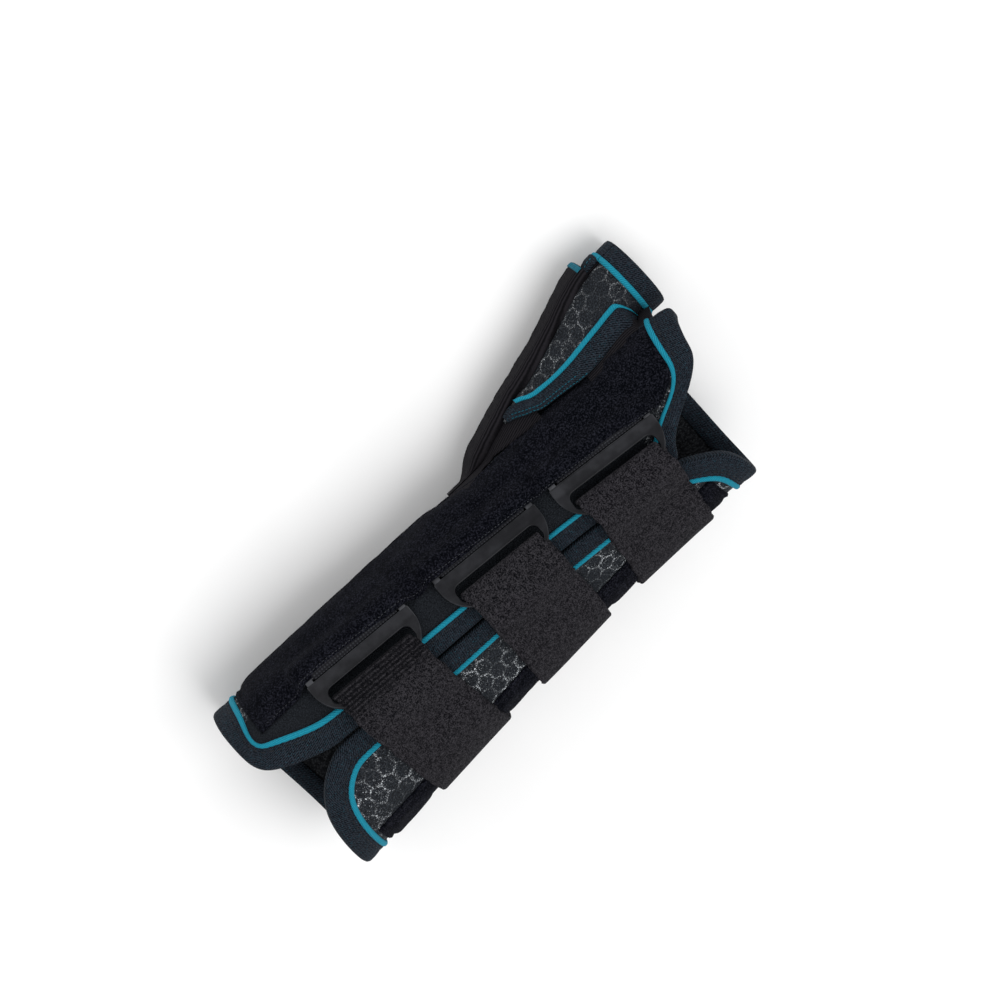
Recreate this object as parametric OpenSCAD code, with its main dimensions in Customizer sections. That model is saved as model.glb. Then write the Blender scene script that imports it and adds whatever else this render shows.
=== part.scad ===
// Wrist and thumb splint for a right hand, lying on its palmar side.
// X runs from the elbow towards the fingers, Y towards the thumb, Z out of the back of the hand.
// The origin is on the rest plane, below the middle of the wrist.

/* [Wrap] */
// Half width of the wrap at the wrist
wrist_half_width = 38; // [35:0.5:41]
// Half height of the wrap at the wrist
wrist_half_height = 27.5; // [26:0.5:30]
// Extra half width at the elbow end
elbow_flare = 3.4; // [2.4:0.2:4.4]
// Extra half height at the elbow end
elbow_rise = 7.5; // [6:0.5:9]
// Half height lost between the wrist and the knuckles
hand_flattening = 4.5; // [3.5:0.5:5.5]
// Radius of the bend that holds the hand cocked back
cock_up_radius = 340; // [320:10:400]
// Length from the wrist to the elbow edge
elbow_length = 124.5; // [118:0.5:130]
// Length from the wrist to the edge over the back of the hand
hand_length = 110; // [106:0.5:114]

/* [Layers] */
// Thickness of the hexagon spacer mesh
mesh_thickness = 0.8; // [0.6:0.1:1]
// Thickness of the foam core
foam_thickness = 2.5; // [2:0.1:3]
// Thickness of the terry lining
lining_thickness = 0.8; // [0.6:0.1:1]
// Gap between neighbouring layers
layer_gap = 0.1; // [0.1:0.05:0.2]
// Thickness of the brushed loop panels
loop_thickness = 1.5; // [1.2:0.1:1.6]

/* [Edges] */
// Width of the folded edge binding
binding_width = 8.8; // [8:0.2:9.4]
// Thickness of the edge binding
binding_thickness = 0.8; // [0.6:0.1:0.9]
// Width of the coloured piping
piping_width = 2.4; // [2:0.1:2.8]
// Height of the coloured piping
piping_height = 1; // [0.9:0.1:1.1]

/* [Straps and buckles] */
// Width of the straps
strap_width = 39; // [37:0.5:40]
// Thickness of the straps
strap_thickness = 1.5; // [1.4:0.1:1.6]
// Length of a buckle along its bars
buckle_length = 50.5; // [50:0.5:52]
// Depth of a buckle across its bars
buckle_depth = 19; // [18.5:0.5:19.5]
// Thickness of a buckle
buckle_thickness = 2.4; // [2.2:0.1:2.6]
// Radius of the pin that a buckle swings on
pin_radius = 1.1; // [1:0.05:1.2]
// Radial clearance of that pin in its webbing loop
pin_clearance = 0.08; // [0.05:0.01:0.1]

/* [Stays] */
// Width of the palmar stay
palmar_stay_width = 22; // [20:0.5:24]
// Thickness of the palmar stay
palmar_stay_thickness = 1.8; // [1.5:0.1:2]
// Width of the ulnar and thumb stays
side_stay_width = 8; // [7:0.5:9]
// Thickness of the ulnar and thumb stays
side_stay_thickness = 1.2; // [1:0.1:1.4]

/* [Thumb] */
// Outer radius of the thumb sleeve at its tip
thumb_tip_radius = 14.5; // [13.5:0.1:15]
// Length from the wrist to the tip of the thumb sleeve
thumb_length = 119.6; // [118:0.2:121]

/* [Hidden] */

// Colours
jet = [0.07, 0.08, 0.1];
charcoal = [0.2, 0.23, 0.26];
blue_black = [0.11, 0.15, 0.18];
strap_black = [0.15, 0.15, 0.17];
teal = [0.06, 0.5, 0.6];
foam_grey = [0.45, 0.46, 0.48];
terry_grey = [0.28, 0.3, 0.33];
metal = [0.75, 0.76, 0.78];
plastic = [0.16, 0.17, 0.19];

// ---- General curves ----

function mix(a, b, t) = a + (b - a) * t;
function ramp(t) = let(c = min(1, max(0, t))) c * c * (3 - 2 * c);
function unit(v) = v / norm(v);
function steps(count) = [for (i = [0:count]) i / count];

// Smooth curve through rows of [x, value], with the slope at each row taken from its neighbours.
function slope(rows, i) =
    let(a = max(0, i - 1), b = min(len(rows) - 1, i + 1))
    (rows[b] - rows[a]) / (rows[b].x - rows[a].x);
function span(rows, x, i = 0) = i >= len(rows) - 2 || x < rows[i + 1].x ? i : span(rows, x, i + 1);
function curve(rows, x) =
    let(
        c = min(rows[len(rows) - 1].x, max(rows[0].x, x)),
        i = span(rows, c),
        w = rows[i + 1].x - rows[i].x,
        t = (c - rows[i].x) / w
    )
    rows[i] * (1 + 2 * t) * pow(1 - t, 2) + slope(rows, i) * w * t * pow(1 - t, 2)
    + rows[i + 1] * t * t * (3 - 2 * t) + slope(rows, i + 1) * w * t * t * (t - 1);

// ---- The skin: outer face of the wrap, a soft-cornered oval at each x ----

// The wrap's lowest line is this far above the rest plane, so the palmar stay pocket fits below it
palm_clearance = 4;
// Where the hand starts to rise
bend_start = 10;
function palm_lift(x) = pow(max(0, x - bend_start), 2) / (2 * cock_up_radius);

function half_width(x) = wrist_half_width + elbow_flare * pow(max(0, -x) / 120, 1.4);
function half_height(x) =
    wrist_half_height + elbow_rise * pow(max(0, -x) / 120, 1.3) - hand_flattening * ramp(x / 100);
function mid_z(x) = palm_clearance + palm_lift(x) + half_height(x);

// Angle a is measured about the wrap's middle, from the back of the hand (0) towards the thumb (90)
function oval(x, a) =
    let(
        power = 2.3 - 0.3 * cos(a),
        r = pow(pow(abs(sin(a)) / half_width(x), power)
                + pow(abs(cos(a)) / half_height(x), power), -1 / power)
    )
    [x, r * sin(a), mid_z(x) + r * cos(a)];
// A point at height h outside the skin
function skin(x, a, h) =
    let(t = unit(oval(x, a + 0.5) - oval(x, a - 0.5)))
    oval(x, a) + h * [0, -t.z, t.y];
// How far a point is outside the skin
function outside(p) =
    let(middle = [p.x, 0, mid_z(p.x)], a = atan2(p.y, p.z - middle.z))
    norm(p - middle) - norm(oval(p.x, a) - middle);

// Angle of the front closure, which wanders over the back of the hand
function closure_angle(x) =
    let(c = min(80, x))
    3.2 - 0.16 * c - 0.0017 * pow(max(0, c), 2);
// Girth angle g runs once round the wrap from its radial closure edge (0) to its ulnar one (360)
function wrap_angle(x, g) = g + closure_angle(x) * (ramp(1 - g / 60) + ramp(1 - (360 - g) / 60));
function wrap_point(x, g, h) = skin(x, wrap_angle(x, g), h);

// ---- Outline of the wrap ----

// Girth angle left open on each side of the closure line
closure_gap = 2.4;
// Depth of the notch where the two elbow corners part, on the radial and the ulnar side
elbow_notch = [33, 29.5];
// How much shorter the ulnar side is than the radial side at the elbow
elbow_stagger = 3.5;
// Where the thumb opening starts, and its girth angles
thumb_opening_x = 26;
thumb_opening = [86, 147];

function elbow_edge(g) =
    -elbow_length + elbow_stagger * ramp((g - 100) / 160)
    + elbow_notch[0] * exp(-pow(g / 13, 1.1)) + elbow_notch[1] * exp(-pow((360 - g) / 15, 1.1));
function hand_edge_radial(g) =
    hand_length - 30 * (1 - ramp((g - 12) / 44)) + 0.2 * min(30, max(0, g - 57))
    - 7 * exp(-g / 5) - 15.2 * ramp((g - 88) / 70);
function hand_edge_ulnar(g) = hand_length - 9 - 24 * exp(-(360 - g) / 36);
function thumb_cut(g) = ramp((g - thumb_opening[0]) / 7) * ramp((thumb_opening[1] - g) / 9);
function hand_edge(g) =
    mix(g < 180 ? hand_edge_radial(g) : hand_edge_ulnar(g), thumb_opening_x, thumb_cut(g));

// ---- Solids made of two facing grids of points ----

module slab(top, bottom) {
    rows = len(top);
    cols = len(top[0]);
    n = rows * cols;
    // Which way round the grid runs, seen from outside
    turn = cross(top[0][1] - top[0][0], top[1][0] - top[0][0]) * (top[0][0] - bottom[0][0]);
    function pair(a, b, c, d) = turn > 0 ? [[a, c, b], [a, d, c]] : [[a, b, c], [a, c, d]];
    polyhedron(
        points = concat([for (r = top) each r], [for (r = bottom) each r]),
        faces = [
            for (i = [0:rows - 2]) for (j = [0:cols - 2])
                let(a = i * cols + j, b = a + 1, d = a + cols, c = d + 1)
                each concat(pair(a, b, c, d), pair(n + a, n + d, n + c, n + b)),
            for (i = [0:rows - 2])
                let(a = i * cols, d = a + cols, b = a + cols - 1, c = d + cols - 1)
                each concat(pair(a, d, n + d, n + a), pair(b, n + b, n + c, c)),
            for (j = [0:cols - 2])
                let(a = j, b = j + 1, c = n - cols + j, d = c + 1)
                each concat(pair(a, n + a, n + b, b), pair(c, d, n + d, n + c)),
        ],
        convexity = 8
    );
}

// ---- Wrap layers ----

girth_stations = [
    closure_gap, 6, 10, 15, 21, 28, 36, 45, 54, 64, 74, 82, 86, 88, 90, 93, 99, 107, 117, 127, 134,
    138, 141, 144, 147, 153, 163, 176, 190, 204, 218, 232, 246, 260, 274, 287, 299, 310, 320, 329,
    337, 344, 350, 354, 360 - closure_gap
];

module wrap_layer(low, high) {
    rows = steps(16);
    function grid(h) = [
        for (u = rows) [
            for (g = girth_stations) wrap_point(mix(elbow_edge(g), hand_edge(g), u), g, h)
        ]
    ];
    slab(grid(high), grid(low));
}

foam_top = -mesh_thickness - layer_gap;
lining_top = foam_top - foam_thickness - layer_gap;
wrap_inside = lining_top - lining_thickness;

module outer_mesh() {
    color(charcoal) wrap_layer(-mesh_thickness, 0);
}
module foam_core() {
    color(foam_grey) wrap_layer(foam_top - foam_thickness, foam_top);
}
module inner_lining() {
    color(terry_grey) wrap_layer(wrap_inside, lining_top);
}

// ---- Edge binding and piping ----

// A path is a function from 0..1 to [x, g]; the wrap is on its right as seen from outside.
// A point w inwards from the path, at height h over the skin
function edge_point(path, t, w, h) =
    let(
        step = 0.004,
        here = path(t),
        p = wrap_point(here[0], here[1], 0),
        before = path(t - step),
        after = path(t + step),
        along = unit(wrap_point(after[0], after[1], 0) - wrap_point(before[0], before[1], 0)),
        out = unit(wrap_point(here[0], here[1], 1) - p),
        q = p + cross(along, out) * w
    )
    skin(q.x, atan2(q.y, q.z - mid_z(q.x)), h);

// Binding folded round the edge: outer leg, edge and shorter inner leg
module folded_binding(path, count, inner_leg = 6) {
    b = binding_thickness;
    low = wrap_inside - layer_gap;
    outer = [[binding_width - 1, layer_gap + b], [-layer_gap - b, layer_gap + b],
             [-layer_gap - b, low - b], [inner_leg, low - b]];
    inner = [[binding_width - 1, layer_gap], [-layer_gap, layer_gap],
             [-layer_gap, low], [inner_leg, low]];
    function grid(profile) =
        [for (t = steps(count)) [for (c = profile) edge_point(path, t, c[0], c[1])]];
    slab(grid(outer), grid(inner));
}

// Half-round piping along the binding's inner side
module edge_piping(path, count) {
    start = binding_width - 0.9;
    w = piping_width;
    top = [[start, 0.5], [start + 0.25 * w, piping_height],
           [start + 0.75 * w, piping_height], [start + w, 0.5]];
    bottom = [[start, layer_gap], [start + 0.3 * w, layer_gap],
              [start + 0.7 * w, layer_gap], [start + w, layer_gap]];
    function grid(profile) =
        [for (t = steps(count)) [for (c = profile) edge_point(path, t, c[0], c[1])]];
    slab(grid(top), grid(bottom));
}

// Length of closure edge left to the hand bindings, which turn its corners
corner_reach = 12;
closure_start = elbow_edge(closure_gap) + 7;
closure_end_radial = hand_edge(closure_gap) - corner_reach;
closure_end_ulnar = hand_edge(360 - closure_gap) - corner_reach;

radial_closure_path = function (t) [mix(closure_end_radial, closure_start, t), closure_gap];
ulnar_closure_path = function (t) [mix(closure_start, closure_end_ulnar, t), 360 - closure_gap];
// Girth angles crowd towards both ends, where the elbow edge turns into the closure
elbow_path = function (t)
    let(g = mix(closure_gap, 360 - closure_gap, t - 0.9 * sin(360 * t) / (2 * PI)))
    [elbow_edge(g), g];
radial_hand_path = function (t) let(g = mix(85, closure_gap, t)) [hand_edge(g), g];
ulnar_hand_path = function (t) let(g = mix(360 - closure_gap, 151, t)) [hand_edge(g), g];

module closure_binding_radial() {
    color(blue_black) folded_binding(radial_closure_path, 12);
}
module closure_binding_ulnar() {
    color(blue_black) folded_binding(ulnar_closure_path, 12);
}
module elbow_binding() {
    color(blue_black) folded_binding(elbow_path, 48);
}
module hand_binding_radial() {
    color(blue_black) folded_binding(radial_hand_path, 16);
}
module hand_binding_ulnar() {
    color(blue_black) folded_binding(ulnar_hand_path, 26);
}
module closure_piping_radial() {
    color(teal) edge_piping(radial_closure_path, 12);
}
module closure_piping_ulnar() {
    color(teal) edge_piping(ulnar_closure_path, 12);
}
module elbow_piping() {
    color(teal) edge_piping(elbow_path, 48);
}
module hand_piping_radial() {
    color(teal) edge_piping(radial_hand_path, 16);
}
module hand_piping_ulnar() {
    color(teal) edge_piping(ulnar_hand_path, 26);
}

// ---- Loop panels ----

// Angle of the radial panel's dorsal edge, along which the buckles are sewn
function panel_angle(x) = min(55, 45.3 - 0.125 * x);
// Room left behind that edge for the buckle loops
loop_room = 12;
// Margin between a panel and the binding and piping
edge_margin = 11.6;
// Height of the panels over the mesh they are sewn to
panel_gap = 0.25;

module radial_loop_panel() {
    // Palmar edge: round the side on the forearm, then up to the thumb opening
    function far_angle(x) = mix(128, 80, ramp((x + 30) / 50));
    function along(u, v) =
        mix(-elbow_length + edge_margin, mix(91.5, 102.5, v) + hand_length - 110, u);
    function grid(h) = [
        for (u = steps(26)) [
            for (v = steps(10))
                let(x = along(u, v)) skin(x, mix(panel_angle(x) + loop_room, far_angle(x), v), h)
        ]
    ];
    color(jet) slab(grid(panel_gap + loop_thickness), grid(panel_gap));
}

module ulnar_loop_panel() {
    near_angle = -50;
    far_angle = -112;
    function along(u, v) =
        mix(-elbow_length + elbow_stagger + edge_margin + mix(1, 0, v), mix(82, 87, v), u);
    function grid(h) = [
        for (u = steps(16)) [
            for (v = steps(10)) skin(along(u, v), mix(near_angle, far_angle, v), h)
        ]
    ];
    color(jet) slab(grid(panel_gap + loop_thickness), grid(panel_gap));
}

// ---- Palmar stay ----

pocket_height = palm_clearance - 0.2;
pocket_width = 34;
pocket_ends = [-112, 84];
pocket_skin = 0.9;

// Side view of a strip that follows the palm between two heights
function palm_strip(from, to, low, high) =
    let(stations = concat([from], [for (t = steps(14)) mix(bend_start, to, t)]))
    concat(
        [for (x = stations) [x, palm_lift(x) + low]],
        [for (i = [len(stations) - 1:-1:0]) [stations[i], palm_lift(stations[i]) + high]]
    );
module palm_bar(from, to, low, high, width) {
    translate([0, width / 2, 0])
        rotate([90, 0, 0])
            linear_extrude(width) polygon(palm_strip(from, to, low, high));
}
module palmar_stay_pocket() {
    color(blue_black)
        difference() {
            palm_bar(pocket_ends[0], pocket_ends[1], 0, pocket_height, pocket_width);
            palm_bar(pocket_ends[0] - 1, pocket_ends[1] - 3, pocket_skin,
                     pocket_height - pocket_skin, palmar_stay_width + 0.6);
        }
}
module palmar_stay() {
    from = pocket_ends[0] + 4;
    to = pocket_ends[1] - 4;
    r = palmar_stay_width / 2;
    color(metal)
        intersection() {
            palm_bar(from, to, pocket_skin + 0.1, pocket_skin + 0.1 + palmar_stay_thickness,
                     palmar_stay_width);
            linear_extrude(40) {
                translate([from + r, 0]) circle(r, $fn = 48);
                translate([to - r, 0]) circle(r, $fn = 48);
                translate([from + r, -r]) square([to - from - 2 * r, 2 * r]);
            }
        }
}

// ---- Straight pockets with a sliding stay ----

// Frame with X along a line, Z outwards: [origin, x, y, z]
function line_frame(from, to, out) =
    let(x = unit(to - from), y = unit(cross(out, x)))
    [from, x, y, cross(x, y)];
module in_frame(f) {
    multmatrix([
        [f[1].x, f[2].x, f[3].x, f[0].x],
        [f[1].y, f[2].y, f[3].y, f[0].y],
        [f[1].z, f[2].z, f[3].z, f[0].z],
    ]) children();
}
function from_frame(f, p) = f[0] + f[1] * p.x + f[2] * p.y + f[3] * p.z;

sleeve_skin = 0.6;
sleeve_width = side_stay_width + 3.4;
sleeve_height = side_stay_thickness + 2 * sleeve_skin + 0.2;
// Sleeve open at its start, closed at its end
module stay_sleeve(length) {
    difference() {
        translate([0, -sleeve_width / 2, 0]) cube([length, sleeve_width, sleeve_height]);
        translate([-1, -side_stay_width / 2 - 0.2, sleeve_skin])
            cube([length - 1, side_stay_width + 0.4, side_stay_thickness + 0.2]);
    }
}
// Flat stay with round ends, lying in its sleeve
module flat_stay(length) {
    r = side_stay_width / 2;
    translate([0, 0, sleeve_skin + 0.1])
        linear_extrude(side_stay_thickness) {
            translate([2 + r, 0]) circle(r, $fn = 32);
            translate([length - 4 - r, 0]) circle(r, $fn = 32);
            translate([2 + r, -r]) square([length - 6 - 2 * r, 2 * r]);
        }
}

ulnar_stay_angle = -128;
ulnar_stay_ends = [-108, 28];
ulnar_line = [for (x = ulnar_stay_ends) skin(x, ulnar_stay_angle, 0.3)];
ulnar_frame = line_frame(
    ulnar_line[0], ulnar_line[1],
    skin(-30, ulnar_stay_angle, 1) - skin(-30, ulnar_stay_angle, 0)
);
ulnar_sleeve_length = norm(ulnar_line[1] - ulnar_line[0]);
module ulnar_stay_pocket() {
    color(blue_black) in_frame(ulnar_frame) stay_sleeve(ulnar_sleeve_length);
}
module ulnar_stay() {
    color(metal) in_frame(ulnar_frame) flat_stay(ulnar_sleeve_length);
}

// ---- Thumb sleeve ----

// Centre line and radius of the sleeve, as [x, y, z, radius]
thumb_rows = [
    [4, 11.5, 22, 20], [20, 18.8, 21.4, 20], [40, 26.3, 20.4, 19], [60, 32.7, 19.6, 18],
    [76, 39, 19, 16.7], [90, 44.9, 18.3, 15.3], [101, 48.6, 17.7, thumb_tip_radius],
    [thumb_length + 1, 49.2, 17.4, thumb_tip_radius],
];
// The sleeve is closed to a ring beyond here
thumb_ring_start = 112;
// Widest angle that each half of the sleeve reaches round the thumb
ring_reach = 168;
// Angle about the thumb at which the cloth leaves it for the back of the hand, and for the palm
function dorsal_leave(x) = 46 + 18 * ramp((x - 70) / 32) + 116 * ramp((x - 101) / 11);
function palmar_leave(x) = 108 + 25 * ramp((x - 60) / 40) + 47 * ramp((x - 101) / 11);

// Angle b is measured about the thumb, from outwards (0) to the back of the hand (+) or the palm (-)
function sleeve(x, b) =
    let(
        row = curve(thumb_rows, x),
        leave = b > 0 ? dorsal_leave(x) : palmar_leave(x),
        r = row[3] / cos(max(0, abs(b) - leave))
    )
    [x, row[1] + r * cos(b), row[2] + r * sin(b)];
function sleeve_point(x, b, h) =
    let(t = unit(sleeve(x, b + 0.5) - sleeve(x, b - 0.5)))
    sleeve(x, b) + h * [0, t.z, -t.y];

// Whether a point is that far outside the skin and beside the palmar stay pocket
function clear(p, gap) = outside(p) > gap && p.y > pocket_width / 2 + 2;
// Largest angle, on side s, at which the sleeve is still the given distance outside the skin
function settle(x, s, gap, low, high, n) =
    n == 0 ? low
    : let(m = (low + high) / 2)
      clear(sleeve(x, s * m), gap) ? settle(x, s, gap, m, high, n - 1)
                                   : settle(x, s, gap, low, m, n - 1);
function reach(x, s, gap, b = 0) =
    b >= ring_reach ? ring_reach
    : clear(sleeve(x, s * (b + 3)), gap) ? reach(x, s, gap, b + 3)
    : settle(x, s, gap, b, b + 3, 6);

// Gap over the hand for the flap with its hook pad, and for the sewn palmar side
flap_gap = 3;
palm_gap = 1.7;
// The flap hinges here, just on the dorsal side of the stay
hinge_angle = 20;
flap_start = 47;
flap_full = 58;
shell = 1.2;

flap_edge = function (x)
    mix(hinge_angle + 3, reach(x, 1, flap_gap), ramp((x - flap_start + 3) / (flap_full - flap_start)));

module sleeve_sheet(xs, from, to, cols, low, high) {
    function grid(h) =
        [for (x = xs) [for (v = steps(cols)) sleeve_point(x, mix(from(x), to(x), v), h)]];
    slab(grid(high), grid(low));
}

gutter_start = 20;
gusset_start = 27;
// Upper edge of the gutter: the hinge line, or the wrap where the sleeve has hardly left it
function gutter_top(x, gap) = min(hinge_angle - 2.5, reach(x, 1, gap));
module thumb_gutter() {
    xs = [for (t = steps(14)) mix(gutter_start, thumb_ring_start - 0.2, t)];
    color(jet)
        sleeve_sheet(xs, function (x) -reach(x, -1, palm_gap), function (x) gutter_top(x, 2), 12,
                     layer_gap, layer_gap + shell);
}
module thumb_gusset() {
    xs = [for (t = steps(5)) mix(gusset_start, flap_start - 0.4, t)];
    color(jet)
        sleeve_sheet(xs, function (x) hinge_angle - 1, function (x) reach(x, 1, 2), 5,
                     layer_gap, layer_gap + shell);
}
module thumb_lining() {
    xs = [for (t = steps(13)) mix(gutter_start + 4, thumb_ring_start - 0.2, t)];
    color(terry_grey)
        sleeve_sheet(xs, function (x) -reach(x, -1, palm_gap + 1.2), function (x) gutter_top(x, 3), 12,
                     -1.2, -layer_gap);
}
module thumb_flap() {
    xs = [for (t = steps(12)) mix(flap_start, thumb_ring_start - 0.2, t)];
    color(charcoal)
        sleeve_sheet(xs, function (x) hinge_angle + 2, flap_edge, 10, layer_gap,
                     layer_gap + shell);
}

// A strip that runs along the sleeve, between two widths from the flap's free edge
module flap_strip(xs, near, far, low, high) {
    function angle(x, w) = flap_edge(x) - w / curve(thumb_rows, x)[3] * 180 / PI * 0.8;
    function grid(h) =
        [for (x = xs) [for (w = [near, far]) sleeve_point(x, angle(x, w), h)]];
    slab(grid(high), grid(low));
}
flap_top = layer_gap + shell;
module thumb_flap_binding() {
    xs = [for (t = steps(12)) mix(flap_full, thumb_ring_start - 0.2, t)];
    color(blue_black) flap_strip(xs, 0, 6.5, flap_top + 0.1, flap_top + 0.1 + binding_thickness);
}
module thumb_flap_piping() {
    xs = [for (t = steps(12)) mix(flap_full, thumb_ring_start - 0.2, t)];
    color(teal) flap_strip(xs, 6.6, 6.6 + piping_width, flap_top + 0.1, flap_top + piping_height);
}
module thumb_flap_hook() {
    xs = [for (t = steps(8)) mix(flap_full + 4, 100, t)];
    color(strap_black) flap_strip(xs, 1.5, 8, -0.9, 0);
}

// Folded binding round the sleeve's tip, between two angles
tip_binding_length = thumb_length - thumb_ring_start;
module tip_binding(from, to) {
    b = binding_thickness;
    start = thumb_ring_start + 0.1;
    end = thumb_length;
    top = [[start, shell + b], [end, shell + b], [end, -1.2 - b], [start, -1.2 - b]];
    bottom = [[start, shell], [end - b, shell], [end - b, -1.2], [start, -1.2]];
    function grid(profile) =
        [for (v = steps(12)) [for (c = profile) sleeve_point(c[0], mix(from, to, v), c[1])]];
    color(blue_black) slab(grid(top), grid(bottom));
}
module tip_piping(from, to) {
    start = thumb_ring_start - piping_width - 0.4;
    top = [[start, flap_top + 0.5], [start + 0.6, flap_top + piping_height],
           [start + piping_width - 0.6, flap_top + piping_height],
           [start + piping_width, flap_top + 0.5]];
    bottom = [for (c = top) [c[0], flap_top + 0.1]];
    function grid(profile) =
        [for (v = steps(12)) [for (c = profile) sleeve_point(c[0], mix(from, to, v), c[1])]];
    color(teal) slab(grid(top), grid(bottom));
}
module thumb_tip_binding() {
    tip_binding(-ring_reach, hinge_angle - 2);
}
module thumb_tip_piping() {
    tip_piping(-100, -20);
}
module thumb_flap_tip_binding() {
    tip_binding(hinge_angle, ring_reach);
}
module thumb_flap_tip_piping() {
    tip_piping(hinge_angle, 76);
}

// Strip of cloth between the thumb and the first finger
module thumb_web_strip() {
    function middle(a) = 107 - 14 * ramp((a - 90) / 50);
    function grid(h) =
        [for (v = steps(8)) [for (s = [-4.5, 4.5]) let(a = mix(110, 138, v)) skin(middle(a) + s, a, h)]];
    color(jet) slab(grid(-0.5), grid(-3.4));
}

thumb_stay_angle = 0;
thumb_stay_ends = [24, 103];
thumb_line = [for (x = thumb_stay_ends) sleeve_point(x, thumb_stay_angle, shell + 1.4)];
thumb_frame = line_frame(
    thumb_line[1], thumb_line[0],
    sleeve_point(64, thumb_stay_angle, 1) - sleeve_point(64, thumb_stay_angle, 0)
);
thumb_sleeve_length = norm(thumb_line[1] - thumb_line[0]);
module thumb_stay_pocket() {
    color(jet) in_frame(thumb_frame) stay_sleeve(thumb_sleeve_length);
}
module thumb_stay() {
    color(metal) in_frame(thumb_frame) flat_stay(thumb_sleeve_length);
}
module thumb_bartack() {
    color(teal)
        in_frame(thumb_frame)
            translate([1, -sleeve_width / 2, sleeve_height + 0.1])
                cube([piping_width, sleeve_width, 0.6]);
}

// ---- Buckles and straps, numbered from the hand to the elbow ----

// Where each buckle's middle is along the wrap
buckle_x = [57.2, -0.5, -63.4];
// How far each strap drifts towards the hand per degree round the wrist
strap_drift = [0.043, 0.023, -0.038];
// Height of each buckle's underside over the skin at its back and at its front
buckle_heights = [[2.4, 6.1], [1.9, 5.9], [1.9, 6.7]];
// Angle that a buckle spans round the wrist
buckle_span = 34;

// Frame of a buckle: origin in the middle of its back edge, Y towards the front, Z outwards
function buckle_frame(k) =
    let(
        x = buckle_x[k],
        r = buckle_length / 2,
        h = buckle_heights[k][0],
        back = skin(x, panel_angle(x), h),
        bar = unit(skin(x - r, panel_angle(x - r), h) - skin(x + r, panel_angle(x + r), h)),
        forward = skin(x, panel_angle(x) - buckle_span, buckle_heights[k][1]) - back,
        y = unit(forward - bar * (forward * bar))
    )
    [back, bar, y, cross(bar, y)];

corner_radius = 15;
back_bar = 6;
slot_size = [41.2, 7.2];
pin_y = -pin_radius - 1.1;
pin_z = buckle_thickness / 2;
// Thickness of the webbing that holds the pin
webbing = 0.8;
lug_length = 3;

// Radius of the slot's corners
slot_corner = 2.2;

// Quarter round of a front corner, as points
function corner(side) =
    [for (t = steps(10))
        let(a = side > 0 ? 90 * t : 90 + 90 * t)
        [side * (buckle_length / 2 - corner_radius) + corner_radius * cos(a),
         buckle_depth - corner_radius + corner_radius * sin(a)]];
module buckle_plate() {
    difference() {
        linear_extrude(buckle_thickness)
            polygon(concat([[-buckle_length / 2, 0], [buckle_length / 2, 0]], corner(1), corner(-1)));
        translate([0, back_bar + slot_size.y / 2, -1])
            linear_extrude(buckle_thickness + 2) {
                for (s = [-1, 1])
                    for (t = [-1, 1])
                        translate([s * (slot_size.x / 2 - slot_corner), t * (slot_size.y / 2 - slot_corner)])
                            circle(slot_corner, $fn = 32);
                square([slot_size.x - 2 * slot_corner, slot_size.y], center = true);
                square([slot_size.x, slot_size.y - 2 * slot_corner], center = true);
            }
    }
}
module buckle(k) {
    reach = buckle_length / 2 - 0.6;
    color(plastic)
        in_frame(buckle_frame(k))
            union() {
                buckle_plate();
                for (s = [-1, 1])
                    translate([s * (reach - lug_length / 2) - lug_length / 2,
                               pin_y - pin_radius - 0.2, 0])
                        cube([lug_length, -pin_y + pin_radius + 0.7, buckle_thickness]);
                translate([-reach, pin_y, pin_z])
                    rotate([0, 90, 0]) cylinder(h = 2 * reach, r = pin_radius, $fn = 48);
            }
}
// Webbing round the pin, with a tab sewn down behind it
module buckle_loop(k) {
    outer = pin_radius + pin_clearance + webbing;
    length = buckle_length - 2 * lug_length - 3;
    color(blue_black)
        in_frame(buckle_frame(k))
            translate([-length / 2, pin_y, pin_z])
                rotate([90, 0, 90])
                    linear_extrude(length)
                        difference() {
                            union() {
                                circle(outer, $fn = 48);
                                rotate(6) translate([-3.6, -outer]) square([3.6, webbing]);
                            }
                            circle(pin_radius + pin_clearance, $fn = 48);
                        }
}
module buckle_loop_1() { buckle_loop(0); }
module buckle_loop_2() { buckle_loop(1); }
module buckle_loop_3() { buckle_loop(2); }
module buckle_1() { buckle(0); }
module buckle_2() { buckle(1); }
module buckle_3() { buckle(2); }

// The strap comes from under the buckle, turns up through the slot round the front bar and goes back
// over itself. The turn is the fold; below it is the base, and above it is the tail.
turn_y = back_bar + slot_size.y;
turn_centre = turn_y + 0.9;
turn_radius = norm([turn_centre - turn_y, buckle_thickness / 2]) + 0.12;
fold_reach = buckle_depth + 1.2;
// Height of the fold's upper face over the buckle's underside
fold_top = buckle_thickness / 2 + turn_radius + strap_thickness;

module strap_fold(k) {
    outer = turn_radius + strap_thickness;
    color(strap_black)
        in_frame(buckle_frame(k))
            translate([-strap_width / 2, turn_centre, buckle_thickness / 2])
                rotate([90, 0, 90])
                    linear_extrude(strap_width)
                        difference() {
                            union() {
                                difference() {
                                    circle(outer, $fn = 48);
                                    translate([0.4, -outer]) square(2 * outer);
                                }
                                square([fold_reach - turn_centre, outer]);
                            }
                            circle(turn_radius, $fn = 48);
                            translate([0, -turn_radius])
                                square([buckle_depth, 2 * turn_radius]);
                        }
}
module strap_1_fold() { strap_fold(0); }
module strap_2_fold() { strap_fold(1); }
module strap_3_fold() { strap_fold(2); }

base_h = 1.45;
// The base rises onto the ulnar loop panel
panel_rise = 0.5;
tail_h = base_h + panel_rise + strap_thickness + 0.3;
anchor_angle = -114;
tail_end_angle = -98;
hook_room = 1;
function front_angle(k) = panel_angle(buckle_x[k]) - buckle_span;
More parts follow.
